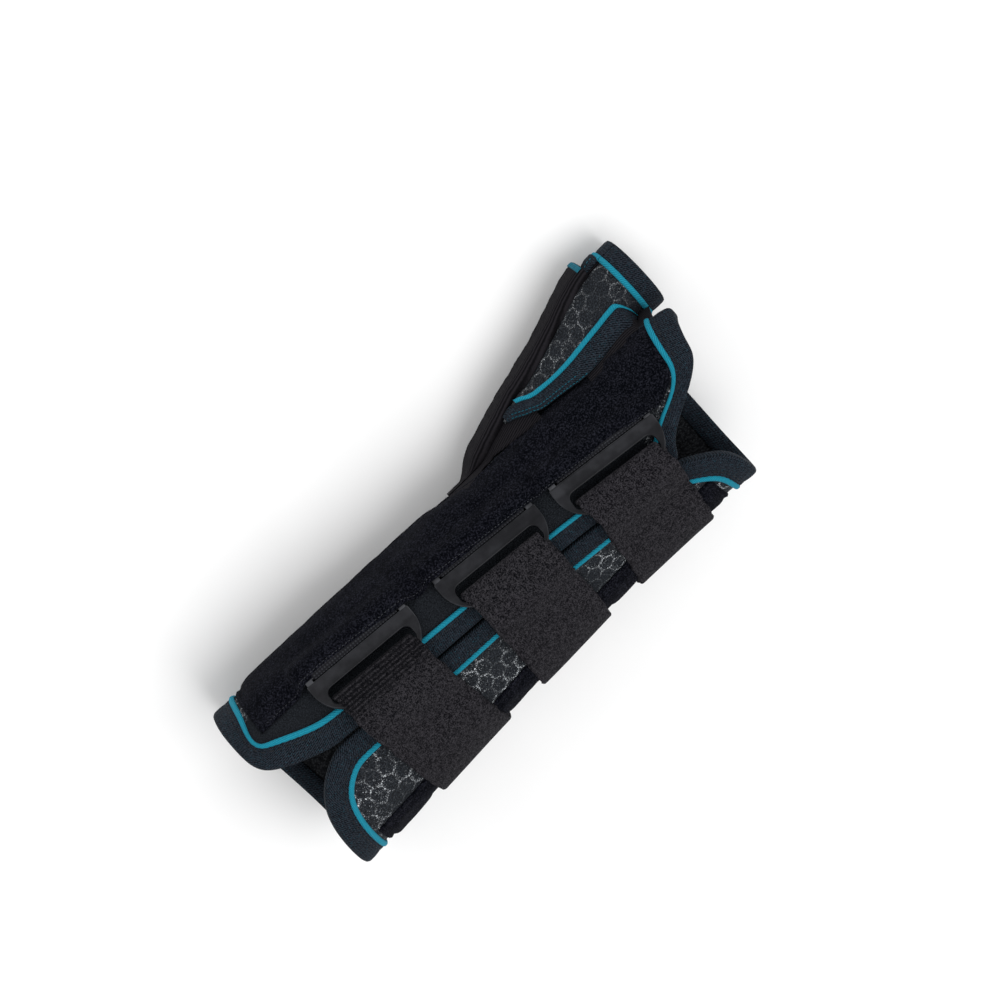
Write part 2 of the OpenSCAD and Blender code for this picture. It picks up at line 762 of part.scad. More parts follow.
// Angles at which the tail leaves the fold and the base meets it
function start_angle(k) = front_angle(k) - 5.3;
function base_angle(k) = front_angle(k) + 4.8;

// Point of a strap at angle a, v along its width and height h; it starts square to the buckle's bars
function strap_point(k, a, v, h) =
    let(
        start = start_angle(k),
        x = buckle_x[k] + strap_drift[k] * (a - start),
        skew = -0.125 * ramp((a + 60) / (start + 60))
    )
    skin(x + v, a + skew * v, h);
// Underside of the tail: over the front bar at first, then down onto the base, then over the hook pad
tail_low = function (k, a)
    tail_h + (buckle_heights[k][1] + fold_top - strap_thickness + 0.3 - tail_h)
        * ramp((a - start_angle(k) + 34) / 34)
    + hook_room * ramp((-60 - a) / 12);
base_low = function (k, a) base_h + panel_rise * ramp((-20 - a) / 20);

module strap_run(k, angles, low, thickness, width) {
    function grid(extra) = [
        for (a = angles) [
            for (v = [-0.5, -0.17, 0.17, 0.5]) strap_point(k, a, v * width, low(k, a) + extra)
        ]
    ];
    color(strap_black) slab(grid(thickness), grid(0));
}
module strap_base(k) {
    angles = [for (t = steps(16)) mix(base_angle(k), anchor_angle, t)];
    strap_run(k, angles, base_low, strap_thickness, strap_width);
}
module strap_tail(k) {
    angles = [for (t = steps(16)) mix(start_angle(k), tail_end_angle, t)];
    strap_run(k, angles, tail_low, strap_thickness, strap_width);
}
module strap_hook(k) {
    angles = [for (t = steps(5)) mix(-75, tail_end_angle + 1, t)];
    strap_run(k, angles, function (k, a) tail_h, 0.85, strap_width - 2);
}
module strap_1_base() { strap_base(0); }
module strap_2_base() { strap_base(1); }
module strap_3_base() { strap_base(2); }
module strap_1_tail() { strap_tail(0); }
module strap_2_tail() { strap_tail(1); }
module strap_3_tail() { strap_tail(2); }
module strap_1_hook() { strap_hook(0); }
module strap_2_hook() { strap_hook(1); }
module strap_3_hook() { strap_hook(2); }

inner_lining();
foam_core();
outer_mesh();
closure_binding_radial();
closure_binding_ulnar();
elbow_binding();
hand_binding_radial();
hand_binding_ulnar();
closure_piping_radial();
closure_piping_ulnar();
elbow_piping();
hand_piping_radial();
hand_piping_ulnar();
radial_loop_panel();
ulnar_loop_panel();
palmar_stay_pocket();
palmar_stay();
ulnar_stay_pocket();
ulnar_stay();
thumb_gutter();
thumb_lining();
thumb_gusset();
thumb_web_strip();
thumb_tip_binding();
thumb_tip_piping();
thumb_stay_pocket();
thumb_stay();
thumb_bartack();
thumb_flap();
thumb_flap_binding();
thumb_flap_piping();
thumb_flap_tip_binding();
thumb_flap_tip_piping();
thumb_flap_hook();
buckle_loop_1();
buckle_loop_2();
buckle_loop_3();
buckle_1();
buckle_2();
buckle_3();
strap_1_base();
strap_2_base();
strap_3_base();
strap_1_fold();
strap_2_fold();
strap_3_fold();
strap_1_tail();
strap_2_tail();
strap_3_tail();
strap_1_hook();
strap_2_hook();
strap_3_hook();
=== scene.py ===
import math

import bmesh
import bpy
import numpy as np
from mathutils import Matrix


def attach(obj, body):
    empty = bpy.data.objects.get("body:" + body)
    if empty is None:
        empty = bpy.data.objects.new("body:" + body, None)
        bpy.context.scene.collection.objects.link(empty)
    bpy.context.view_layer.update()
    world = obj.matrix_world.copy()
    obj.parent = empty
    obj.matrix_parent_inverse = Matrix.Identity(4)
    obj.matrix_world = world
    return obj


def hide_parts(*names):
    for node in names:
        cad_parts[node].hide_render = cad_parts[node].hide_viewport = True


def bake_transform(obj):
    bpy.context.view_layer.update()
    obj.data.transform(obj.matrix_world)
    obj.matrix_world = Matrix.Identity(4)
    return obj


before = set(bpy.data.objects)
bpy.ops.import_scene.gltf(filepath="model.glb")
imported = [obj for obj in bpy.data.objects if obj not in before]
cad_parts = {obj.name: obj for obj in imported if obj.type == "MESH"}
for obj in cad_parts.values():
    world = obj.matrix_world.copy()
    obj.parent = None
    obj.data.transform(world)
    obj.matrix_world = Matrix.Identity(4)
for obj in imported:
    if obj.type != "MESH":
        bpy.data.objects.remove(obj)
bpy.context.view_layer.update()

# Wrist and thumb splint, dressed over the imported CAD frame. Lengths are in millimetres and angles in
# degrees, as in the CAD; mesh_object() turns them into metres.
MM = 0.001


# ---- Curves and arrays ----

def mix(a, b, t):
    return a + (b - a) * t


def ramp(t):
    """Smooth rise from 0 at t = 0 to 1 at t = 1."""
    c = np.clip(t, 0, 1)
    return c * c * (3 - 2 * c)


def bell(t):
    return np.exp(-np.square(t))


def sind(a):
    return np.sin(np.radians(a))


def cosd(a):
    return np.cos(np.radians(a))


def unit(v):
    return v / np.maximum(np.linalg.norm(v, axis=-1, keepdims=True), 1e-9)


def vec(*parts):
    """Points from their coordinates, which are broadcast to one shape."""
    return np.stack(np.broadcast_arrays(*parts), axis=-1).astype(float)


def wave(x, period, size):
    return size * np.sin(x * 2 * math.pi / period)


def travelled(path):
    """Distance along a path at each of its points."""
    return np.concatenate([[0], np.cumsum(np.linalg.norm(np.diff(path, axis=0), axis=1))])


def read_off(t, s, rows):
    """Rows of numbers that are known at s, read off at t."""
    return np.stack([np.interp(t, s, column) for column in rows.T], axis=1)


def resample(path, step):
    """Points at an even step along an open path."""
    s = travelled(path)
    return read_off(np.linspace(0, s[-1], int(s[-1] / step) + 1), s, path)


def soften(p, sigma):
    """Gaussian smoothing along an open path whose ends stay put."""
    reach = int(3 * sigma) + 1
    kernel = np.exp(-np.arange(-reach, reach + 1) ** 2 / (2 * sigma * sigma))
    kernel /= kernel.sum()
    padded = np.concatenate([2 * p[0] - p[reach:0:-1], p, 2 * p[-1] - p[-2:-reach - 2:-1]])
    return np.stack([np.convolve(column, kernel, "valid") for column in padded.T], axis=1)


def stations(length, step, edge=(0.25, 0.6, 1.1, 1.8, 2.7)):
    """Shares of a length, closer together near both ends so that edges can be round."""
    near = np.array([0, *edge])
    inner = np.linspace(edge[-1], length - edge[-1], max(3, int((length - 2 * edge[-1]) / step) + 1))[1:-1]
    return np.concatenate([near, inner, (length - near)[::-1]]) / length


# ---- The skin of the wrap, the same oval sections as the CAD ----

WRIST_HALF_WIDTH, WRIST_HALF_HEIGHT = 38, 27.5
ELBOW_FLARE, ELBOW_RISE, HAND_FLATTENING = 3.4, 7.5, 4.5
COCK_UP_RADIUS, BEND_START, PALM_CLEARANCE = 340, 10, 4
ELBOW_LENGTH, HAND_LENGTH = 124.5, 110
CLOSURE_GAP = 2.4
WRAP_DEGREE, THUMB_DEGREE = 0.63, 0.34  # millimetres of cloth per degree, for the UVs
SEAM_INSET = 2.2
PANEL_SWELL = 0.8  # most that simulated pressure may lift a plush panel
PIPING_WIDTH = 2.5


def half_width(x):
    return WRIST_HALF_WIDTH + ELBOW_FLARE * (np.maximum(0, -x) / 120) ** 1.4


def half_height(x):
    return WRIST_HALF_HEIGHT + ELBOW_RISE * (np.maximum(0, -x) / 120) ** 1.3 - HAND_FLATTENING * ramp(x / 100)


def palm_lift(x):
    return np.maximum(0, x - BEND_START) ** 2 / (2 * COCK_UP_RADIUS)


def middle(x):
    """Middle of the wrap's section at x."""
    return vec(x, 0, PALM_CLEARANCE + palm_lift(x) + half_height(x))


def oval(x, a):
    power = 2.3 - 0.3 * cosd(a)
    r = ((np.abs(sind(a)) / half_width(x)) ** power
         + (np.abs(cosd(a)) / half_height(x)) ** power) ** (-1 / power)
    return middle(x) + vec(0, r * sind(a), r * cosd(a))


def raised(surface, x, angle, lift, way=1):
    """Point lifted square off a surface of x and angle; way is the sense in which the angle turns."""
    t = way * unit(surface(x, angle + 0.5) - surface(x, angle - 0.5))
    return surface(x, angle) + np.asarray(lift)[..., None] * vec(0, -t[..., 2], t[..., 1])


def relief(x, a):
    """Soft unevenness that every layer of the wrap shares."""
    t = np.radians(a)
    return (0.26 * np.sin(3 * t + x / 21) + 0.2 * np.sin(5 * t - x / 13 + 1)
            + 0.12 * np.sin(9 * t + x / 8 + 2))


def plain_skin(x, a, h):
    """Point at height h over the wrap, at x along it and angle a round it, as the CAD has it."""
    return raised(oval, x, a, h)


def skin(x, a, h):
    """The same with the soft unevenness."""
    return raised(oval, x, a, h + relief(x, a))


def outside(p):
    """How far points lie outside the oval."""
    from_middle = p - middle(p[..., 0])
    a = np.degrees(np.arctan2(from_middle[..., 1], from_middle[..., 2]))
    surface = oval(p[..., 0], a) - middle(p[..., 0])
    return np.linalg.norm(from_middle, axis=-1) - np.linalg.norm(surface, axis=-1)


def wrap_angle(x, g):
    """Angle on the skin for a place g round the girth, counted from the slanting closure."""
    c = np.minimum(80, x)
    closure = 3.2 - 0.16 * c - 0.0017 * np.maximum(0, c) ** 2
    return g + closure * (ramp(1 - g / 60) + ramp(1 - (360 - g) / 60))


def elbow_edge(g):
    return (-ELBOW_LENGTH + 3.5 * ramp((g - 100) / 160) + 33 * np.exp(-(g / 13) ** 1.1)
            + 29.5 * np.exp(-((360 - g) / 15) ** 1.1))


def hand_edge(g):
    radial = (HAND_LENGTH - 30 * (1 - ramp((g - 12) / 44)) + 0.2 * np.clip(g - 57, 0, 30)
              - 7 * np.exp(-g / 5) - 15.2 * ramp((g - 88) / 70))
    ulnar = HAND_LENGTH - 9 - 24 * np.exp(-(360 - g) / 36)
    thumb_opening = ramp((g - 86) / 7) * ramp((147 - g) / 9)
    return mix(np.where(g < 180, radial, ulnar), 26, thumb_opening)


# ---- Mesh building ----

def link(name, data):
    obj = bpy.data.objects.new(name, data)
    bpy.context.scene.collection.objects.link(obj)
    return obj


def mesh_object(name, points, faces, uv, material):
    """A closed smooth mesh from points in millimetres, with UVs in millimetres too."""
    mesh = bpy.data.meshes.new(name)
    mesh.from_pydata((np.asarray(points, float) * MM).tolist(), [], [list(map(int, f)) for f in faces])
    layer = mesh.uv_layers.new(name="UVMap")
    loops = np.empty(len(mesh.loops), dtype=np.int32)
    mesh.loops.foreach_get("vertex_index", loops)
    layer.data.foreach_set("uv", np.asarray(uv, np.float32)[loops].ravel())
    build = bmesh.new()
    build.from_mesh(mesh)
    bmesh.ops.recalc_face_normals(build, faces=build.faces)
    build.to_mesh(mesh)
    build.free()
    mesh.polygons.foreach_set("use_smooth", np.ones(len(mesh.polygons), bool))
    mesh.materials.append(material)
    return link(name, mesh)


def place(piece, body, slot, *nodes):
    """Hangs a piece on a body and hides the CAD nodes that it replaces, if any; slot is not used."""
    if nodes:
        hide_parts(*nodes)
    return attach(piece, body)


def grid_faces(rows, cols, offset=0):
    i, j = np.meshgrid(np.arange(rows - 1), np.arange(cols - 1), indexing="ij")
    a = (i * cols + j).ravel() + offset
    return np.stack([a, a + 1, a + cols + 1, a + cols], axis=1)


def ring_faces(rows, cols, offset=0):
    """Faces between closed rings of points."""
    i, j = np.meshgrid(np.arange(rows - 1) * cols + offset, np.arange(cols), indexing="ij")
    k = (j + 1) % cols
    return np.stack([i + j, i + k, i + cols + k, i + cols + j], axis=-1).reshape(-1, 4).tolist()


def capped_rings(rows, cols, offset=0):
    """The same, with the first and the last ring filled."""
    first = list(range(offset, offset + cols))
    return ring_faces(rows, cols, offset) + [first[::-1], [i + (rows - 1) * cols for i in first]]


def slab(name, top, bottom, uv, material):
    """Closed solid between two facing grids of points."""
    rows, cols = top.shape[:2]
    n = rows * cols
    under = grid_faces(rows, cols, n)[:, ::-1]
    rim = np.concatenate([
        np.arange(cols), np.arange(1, rows) * cols + cols - 1,
        (rows - 1) * cols + np.arange(cols - 2, -1, -1), np.arange(rows - 2, 0, -1) * cols])
    after = np.roll(rim, -1)
    wall = np.stack([rim, rim + n, after + n, after], axis=1)
    points = np.concatenate([top.reshape(-1, 3), bottom.reshape(-1, 3)])
    both = np.concatenate([uv.reshape(-1, 2)] * 2)
    return mesh_object(name, points, np.concatenate([grid_faces(rows, cols), under, wall]), both, material)


def tube(name, sections, uv, material):
    """Closed section carried along a path: sections is stations x points x 3."""
    faces = capped_rings(*sections.shape[:2])
    return mesh_object(name, sections.reshape(-1, 3), faces, uv.reshape(-1, 2), material)


def edge_distance(p):
    """Distance of each grid point from the nearest border of its grid."""
    def along(q):
        d = np.linalg.norm(np.diff(q, axis=0), axis=-1)
        s = np.concatenate([np.zeros((1,) + d.shape[1:]), np.cumsum(d, axis=0)])
        return np.minimum(s, s[-1] - s)
    return np.minimum(along(p), along(p.swapaxes(0, 1)).T)


def two_faces(middle_surface, thickness, distance, round_edge, least):
    """Upper and lower side of cloth about a middle surface, with rounded borders."""
    inwards = np.clip(distance / round_edge, 0, 1)
    half = thickness / 2 * np.maximum(least, np.sqrt(1 - (1 - inwards) ** 2))[..., None]
    n = unit(np.cross(np.gradient(middle_surface, axis=0), np.gradient(middle_surface, axis=1))) * half
    return middle_surface + n, middle_surface - n


def strip(name, middle_surface, thickness, uv, material, round_edge=0.9):
    """Cloth of some thickness about a middle surface, with rounded borders."""
    faces = two_faces(middle_surface, thickness, edge_distance(middle_surface), round_edge, 0.12)
    return slab(name, *faces, uv, material)


def stitches(name, at, material, body, slot, length=2.3, gap=1.0, radius=0.24):
    """Stitches along the path at(0), as capsules half sunk into cloth that faces at(1)."""
    path = at(0)
    fine = resample(np.concatenate([path, unit(at(1) - path)], axis=1), 0.25)
    line, normals = fine[:, :3], fine[:, 3:]
    s = travelled(line)
    count = max(1, int(s[-1] / (length + gap)))
    rings, around = 7, 6
    share = np.linspace(0, 1, rings)
    t = ((np.arange(count) * s[-1] / count)[:, None] + share * length).ravel()
    up = unit(read_off(t, s, normals))
    side = unit(np.cross(read_off(t + 0.2, s, line) - read_off(t - 0.2, s, line), up))
    taper = (2 * share - 1) ** 4
    size = np.tile(radius * np.sqrt(np.maximum(0.02, 1 - taper)), count)[:, None]
    dip = np.tile(-radius * (taper + 0.35), count)[:, None]
    q = np.arange(around) * 2 * np.pi / around
    ring = (read_off(t, s, line) + up * dip)[:, None] + side[:, None] * (size * np.cos(q))[..., None] \
        + up[:, None] * (size * np.sin(q))[..., None]
    faces = [face for c in range(count) for face in capped_rings(rings, around, c * rings * around)]
    uv = np.stack([np.repeat(t, around), np.tile(q, len(t))], axis=1)
    return place(mesh_object(name, ring.reshape(-1, 3), faces, uv, material), body, slot)


# ---- Materials ----

class Shader:
    """A node material under construction."""

    def __init__(self, name, rough, sheen=0.02, metallic=0.0, specular=0.1):
        self.material = bpy.data.materials.new(name)
        self.material.use_nodes = True
        self.tree = self.material.node_tree
        self.body = self.tree.nodes["Principled BSDF"].inputs
        for key, value in (("Roughness", rough), ("Metallic", metallic), ("Specular IOR Level", specular),
                           ("Sheen Weight", sheen), ("Sheen Roughness", 0.55),
                           ("Sheen Tint", (0.5, 0.5, 0.55))):
            self.feed(self.body[key], value)
        self.uv = self.node("UVMap").outputs[0]
        self.place = self.node("TexCoord").outputs["Object"]

    def node(self, kind, inputs=None, **settings):
        made = self.tree.nodes.new("ShaderNode" + kind)
        for key, value in settings.items():
            setattr(made, key, value)
        for key, value in (inputs or {}).items():
            self.feed(made.inputs[key], value)
        return made

    def feed(self, socket, value):
        """Links a socket, or sets its value; a colour may leave out its alpha."""
        if isinstance(value, bpy.types.NodeSocket):
            self.tree.links.new(value, socket)
        elif socket.type == "RGBA":
            socket.default_value = (*value, 1)
        else:
            socket.default_value = value

    def math(self, operation, a, b=0.0, c=0.0):
        return self.node("Math", {0: a, 1: b, 2: c}, operation=operation).outputs[0]

    def times(self, first, *others):
        for factor in others:
            first = self.math("MULTIPLY", first, factor)
        return first

    def total(self, *terms, base=0.0):
        """Sum of values, each with its share, over a base."""
        for value, share in terms:
            base = self.math("MULTIPLY_ADD", value, share, base)
        return base

    def vector(self, operation, a, b=(0, 0, 0)):
        made = self.node("VectorMath", {0: a, 1: b}, operation=operation)
        return made.outputs["Value" if operation in ("LENGTH", "DOT_PRODUCT") else "Vector"]

    def scaled(self, vector, scale):
        return self.node("VectorMath", {0: vector, "Scale": scale}, operation="SCALE").outputs["Vector"]

    def stretched(self, where, **settings):
        return self.node("Mapping", {"Vector": where, **settings}).outputs[0]

    def first_of(self, vector):
        return self.node("SeparateXYZ", {0: vector}).outputs[0]

    def span(self, value, low, high, out_low=0.0, out_high=1.0):
        return self.node("MapRange", {"Value": value, "From Min": low, "From Max": high,
                                      "To Min": out_low, "To Max": out_high},
                         interpolation_type="SMOOTHSTEP").outputs[0]

    def noise(self, where, scale, detail=2.0, rough=0.5, distortion=0.0, output=0):
        return self.node("TexNoise", {"Vector": where, "Scale": scale, "Detail": detail, "Roughness": rough,
                                      "Distortion": distortion}).outputs[output]

    def cells(self, where, scale, feature="F1"):
        return self.node("TexVoronoi", {"Vector": where, "Scale": scale}, feature=feature).outputs["Distance"]

    def stripes(self, where, pitch, angle=0.0, distortion=0.0):
        """Soft stripes at a pitch in the units of where, running at an angle."""
        axis = self.first_of(self.stretched(where, Rotation=(0, 0, math.radians(angle))))
        if distortion:
            axis = self.math("ADD", axis, self.times(self.noise(where, 0.6), distortion))
        return self.total((self.math("SINE", self.times(axis, 2 * math.pi / pitch)), 0.5), base=0.5)

    def weave(self, where, pitch):
        """Over-and-under threads as a height."""
        return self.times(self.stripes(where, pitch), self.stripes(where, pitch, 90))

    def blend(self, share, a, b):
        """Colour a where share is 0 and b where it is 1."""
        return self.node("Mix", {"Factor": share, 6: a, 7: b}, data_type="RGBA").outputs[2]

    def roughness(self, value):
        self.feed(self.body["Roughness"], value)

    def bump(self, height, distance, strength=1.0):
        """Height in 0..1 times distance in millimetres; calls add up."""
        inputs = {"Height": height, "Distance": distance * MM, "Strength": strength}
        if self.body["Normal"].is_linked:
            inputs["Normal"] = self.body["Normal"].links[0].from_socket
        self.feed(self.body["Normal"], self.node("Bump", inputs).outputs[0])

    def done(self, share, a, b, *bumps):
        """The material, coloured from a to b by share, with bumps of height, distance and strength."""
        self.feed(self.body["Base Color"], self.blend(share, a, b))
        for one in bumps:
            self.bump(*one)
        return self.material


def mesh_ground(s):
    """Colour of the fine black spacer mesh, and how far its threads stand up."""
    fine = s.noise(s.uv, 1.7, 2.0, 0.7)
    holes = s.span(s.cells(s.uv, 1.2), 0.05, 0.42)
    threads = s.times(holes, s.span(fine, 0.42, 0.66, 0.1, 1.0))
    return s.blend(threads, (0.0016, 0.0022, 0.0034), (0.026, 0.031, 0.038)), fine, holes


def hexagon_edge(s, pitch):
    """Distance from the nearest side of a slightly uneven hexagon, in pitches."""
    root = math.sqrt(3)
    half = (0.5, root / 2, 0.0)
    period = (1.0, root, 1.0)
    wobble = s.scaled(s.noise(s.uv, 0.35, output="Color"), 0.16)
    p = s.vector("ADD", s.scaled(s.uv, 1 / pitch), (100.0, 100 * root, 0))
    p = s.vector("ADD", p, wobble)
    first = s.vector("SUBTRACT", s.vector("MODULO", p, period), half)
    second = s.vector("SUBTRACT", s.vector("MODULO", s.vector("SUBTRACT", p, half), period), half)
    nearer = s.math("LESS_THAN", s.vector("LENGTH", first), s.vector("LENGTH", second))
    cell = s.node("Mix", {"Factor": nearer, 4: second, 5: first}, data_type="VECTOR").outputs[1]
    cell = s.vector("ABSOLUTE", cell)
    slant = s.vector("DOT_PRODUCT", cell, half)
    return s.math("SUBTRACT", 0.5, s.math("MAXIMUM", s.first_of(cell), slant))


def hexagon_cloth(name, light):
    """Fine black spacer mesh under a net of dotted hexagons of the given light grey, which shows only in
    patches of painted light, with painted glints.
    """
    s = Shader(name, 0.75)
    line = s.span(hexagon_edge(s, 6.7), 0.02, 0.11, 1.0, 0.0)
    dots = s.span(s.cells(s.uv, 1.35, "DISTANCE_TO_EDGE"), 0.06, 0.3)
    # Painted highlight: the net is lit only in broad patches and unevenly along its dots, and small painted
    # glints are added.
    painted_light_patches = s.span(s.noise(s.uv, 0.075, 1.0), 0.36, 0.62, 0.12, 1.0)
    ground, fine, holes = mesh_ground(s)
    painted_glints = s.times(s.span(s.cells(s.uv, 1.75), 0.1, 0.32, 0.55, 0.0),
                     s.span(s.noise(s.uv, 0.5, 1.0), 0.42, 0.62, 0.1, 1.0))
    painted_lit_line = s.times(line, dots, s.span(fine, 0.38, 0.6, 0.12, 1.0))
    net = s.times(s.math("MAXIMUM", painted_lit_line, painted_glints), painted_light_patches)
    return s.done(net, ground, (light, light * 1.05, light * 1.1), (holes, 0.3, 0.7), (line, 0.35, 0.5))


def plain_mesh():
    """The same spacer mesh where its net doesn't show."""
    s = Shader("plain_mesh", 0.8, specular=0.08)
    ground, fine, holes = mesh_ground(s)
    return s.done(0.45, ground, (0.005, 0.006, 0.008), (holes, 0.3, 0.7), (fine, 0.2, 0.5))


def plush_cloth():
    """Brushed loop pile, nearly black."""
    s = Shader("plush_cloth", 0.95, specular=0.03)
    fine = s.noise(s.place, 1500, 2.0, 0.7)
    clumps = s.noise(s.place, 160, 3.0, 0.6)
    shade = s.span(s.total((fine, 0.9), (clumps, 0.16)), 0.46, 0.72)
    return s.done(shade, (0.0004, 0.0007, 0.0018), (0.016, 0.0168, 0.024),
                  (fine, 0.5, 0.9), (clumps, 0.9, 0.5))


def strap_cloth(name="strap_cloth", ribs_at=None):
    """Charcoal loop webbing; beside one length, if given, ribs whose creases are bumped and darkened with
    painted shade.
    """
    s = Shader(name, 0.92, specular=0.05)
    fine = s.noise(s.place, 1900, 2.0, 0.7, 0.3)
    coarse = s.noise(s.place, 620, 2.0, 0.6)
    streaks = s.noise(s.stretched(s.uv, Scale=(0.35, 1.5, 1)), 1.0, 2.0)
    shade = s.span(s.total((fine, 0.66), (coarse, 0.22), (streaks, 0.16)), 0.43, 0.63)
    s.bump(fine, 0.6, 0.9)
    if ribs_at is not None:
        length = s.first_of(s.uv)
        beside = s.times(s.span(length, ribs_at + 10, ribs_at + 17, 1.0, 0.0),
                         s.span(length, ribs_at - 6, ribs_at - 2))
        ribs = s.times(s.stripes(s.uv, 1.7, 0, 0.35), beside)
        # Painted shade: the creases between the ribs are darkened in the colour.
        shade = s.times(shade, s.total((ribs, -0.85), base=1.0))
        s.bump(ribs, -0.5, 1.0)
    return s.done(shade, (0.0011, 0.0012, 0.0022), (0.036, 0.034, 0.039))


def binding_cloth():
    """Knitted edge tape with a scatter of coloured specks."""
    s = Shader("binding_cloth", 0.82, specular=0.06)
    knit = s.weave(s.uv, 1.05)
    ribs = s.stripes(s.uv, 0.75, 58)
    speck = s.span(s.noise(s.place, 2100, 2.0, 0.7), 0.6, 0.72)
    fuzz = s.noise(s.place, 1300, 2.0, 0.7)
    threads = s.span(s.total((fuzz, 0.9), (knit, 0.25), (ribs, 0.3)), 0.42, 0.92)
    ground = s.blend(threads, (0.0007, 0.0013, 0.0028), (0.022, 0.028, 0.038))
    return s.done(s.times(speck, 0.45), ground, (0.02, 0.14, 0.19), (ribs, 0.2, 0.6), (knit, 0.25, 0.5))


def piping_cloth():
    """Diagonal knit in teal."""
    s = Shader("piping_cloth", 0.75, sheen=0.03)
    knit = s.stripes(s.uv, 0.7, 52, 0.25)
    fuzz = s.noise(s.place, 2400, 2.0)
    shade = s.span(s.total((fuzz, 0.45), (knit, 0.6)), 0.1, 0.9)
    return s.done(shade, (0.0015, 0.14, 0.21), (0.014, 0.27, 0.38), (knit, 0.22, 0.8), (fuzz, 0.2, 0.5))


def terry_cloth():
    """Looped lining."""
    s = Shader("terry_cloth", 0.95, sheen=0.03, specular=0.05)
    loops = s.cells(s.uv, 0.9)
    return s.done(s.span(loops, 0.1, 0.7), (0.035, 0.038, 0.042), (0.01, 0.011, 0.013),
                  (loops, 0.6, 0.8), (s.noise(s.place, 1500, 2.0, 0.7), 0.3, 0.5))


def knit_cloth(name, dark, light, pitch, angle=0.0):
    """Plain knit with fine ribs."""
    s = Shader(name, 0.85, specular=0.06)
    ribs = s.stripes(s.uv, pitch, angle, 0.2)
    fuzz = s.noise(s.place, 1700, 3.0, 0.65)
    return s.done(s.span(s.total((fuzz, 0.55), (ribs, 0.5)), 0.25, 0.85), dark, light,
                  (ribs, 0.25, 0.7), (fuzz, 0.3, 0.6))


def woven_cloth():
    """Plain narrow webbing."""
    s = Shader("woven_cloth", 0.75)
    threads = s.weave(s.uv, 1.3)
    return s.done(threads, (0.006, 0.006, 0.008), (0.032, 0.034, 0.04), (threads, 0.35, 0.8))


def hook_cloth():
    """Moulded hooks on a backing."""
    s = Shader("hook_cloth", 0.6, sheen=0.0, specular=0.15)
    hooks = s.span(s.cells(s.uv, 1.6), 0.15, 0.4, 1.0, 0.0)
    return s.done(hooks, (0.004, 0.004, 0.005), (0.03, 0.03, 0.034), (hooks, 0.8, 1.0))


def thread(name, colour):
    """Twisted sewing thread."""
    s = Shader(name, 0.6, specular=0.15)
    twist = s.stripes(s.uv, 0.5, 35)
    return s.done(twist, tuple(c * 0.45 for c in colour), colour, (twist, 0.1, 0.8))


def moulded_plastic():
    """Satin black plastic with a fine grain, and paler rims that are a painted highlight."""
    s = Shader("moulded_plastic", 0.42, sheen=0.0, specular=0.14)
    grain = s.noise(s.place, 2600, 2.0, 0.6)
    broad = s.noise(s.place, 90, 3.0, 0.6)
    # Painted highlight: sharp rims are lightened in the colour, unevenly along the broad noise.
    edge = s.span(s.node("NewGeometry").outputs["Pointiness"], 0.505, 0.56)
    painted_rim_highlight = s.times(edge, s.span(broad, 0.35, 0.7, 0.3, 1.0))
    ground = s.blend(s.span(broad, 0.3, 0.7), (0.0018, 0.002, 0.0032), (0.0036, 0.0038, 0.0055))
    s.roughness(s.total((broad, 0.16), (grain, 0.2), base=0.26))
    return s.done(painted_rim_highlight, ground, (0.06, 0.062, 0.07), (grain, 0.05, 0.5))


def brushed_metal():
    """Bare aluminium strip, brushed along its length."""
    s = Shader("brushed_metal", 0.35, sheen=0.0, metallic=1.0, specular=0.5)
    lines = s.noise(s.stretched(s.place, Scale=(0.04, 1, 1)), 3200, 2.0, 0.6)
    s.roughness(s.total((lines, 0.25), base=0.22))
    return s.done(lines, (0.5, 0.51, 0.53), (0.72, 0.73, 0.75), (lines, 0.03, 0.5))


def floor_paint():
    s = Shader("floor_paint", 0.9, sheen=0.0)
    return s.done(s.noise(s.place, 30, 2.0), (0.9, 0.9, 0.9), (0.93, 0.93, 0.93))


HEXAGON = hexagon_cloth("hexagon_cloth", 0.82)
FLAP_HEXAGON = hexagon_cloth("flap_hexagon_cloth", 0.36)
PLAIN_MESH = plain_mesh()
PLUSH = plush_cloth()
STRAP = strap_cloth()
BINDING = binding_cloth()
PIPING = piping_cloth()
TERRY = terry_cloth()
POCKET = knit_cloth("pocket_knit", (0.003, 0.0036, 0.005), (0.016, 0.018, 0.023), 0.9)
TUBE_KNIT = knit_cloth("tube_knit", (0.0022, 0.002, 0.0028), (0.0155, 0.0142, 0.017), 0.9, 90)
WEBBING = woven_cloth()
HOOKS = hook_cloth()
DARK_THREAD = thread("dark_thread", (0.02, 0.022, 0.026))
GREY_THREAD = thread("grey_thread", (0.07, 0.075, 0.085))
TEAL_THREAD = thread("teal_thread", (0.006, 0.15, 0.22))
PLASTIC = moulded_plastic()
METAL = brushed_metal()


# ---- Wrap: mesh cover over the foam, and the lining ----

GIRTH = np.concatenate([np.linspace(6.5, 84, 62), np.linspace(84.6, 96, 20), np.linspace(97, 137, 26),
                        np.linspace(138, 150, 20), np.linspace(151.5, 353.5, 140)])
ALONG = np.linspace(0, 1, 116)
EDGE_INSET = 2.6


def wrap_layer(name, low, high, material, slot, *nodes):
    g = GIRTH[None, :]
    x = mix(elbow_edge(g) + EDGE_INSET, hand_edge(g) - EDGE_INSET, ALONG[:, None])
    a = wrap_angle(x, g)
    piece = slab(name, skin(x, a, high), skin(x, a, low), vec(x, g * 0.66), material)
    return place(piece, "wrap", slot, *nodes)


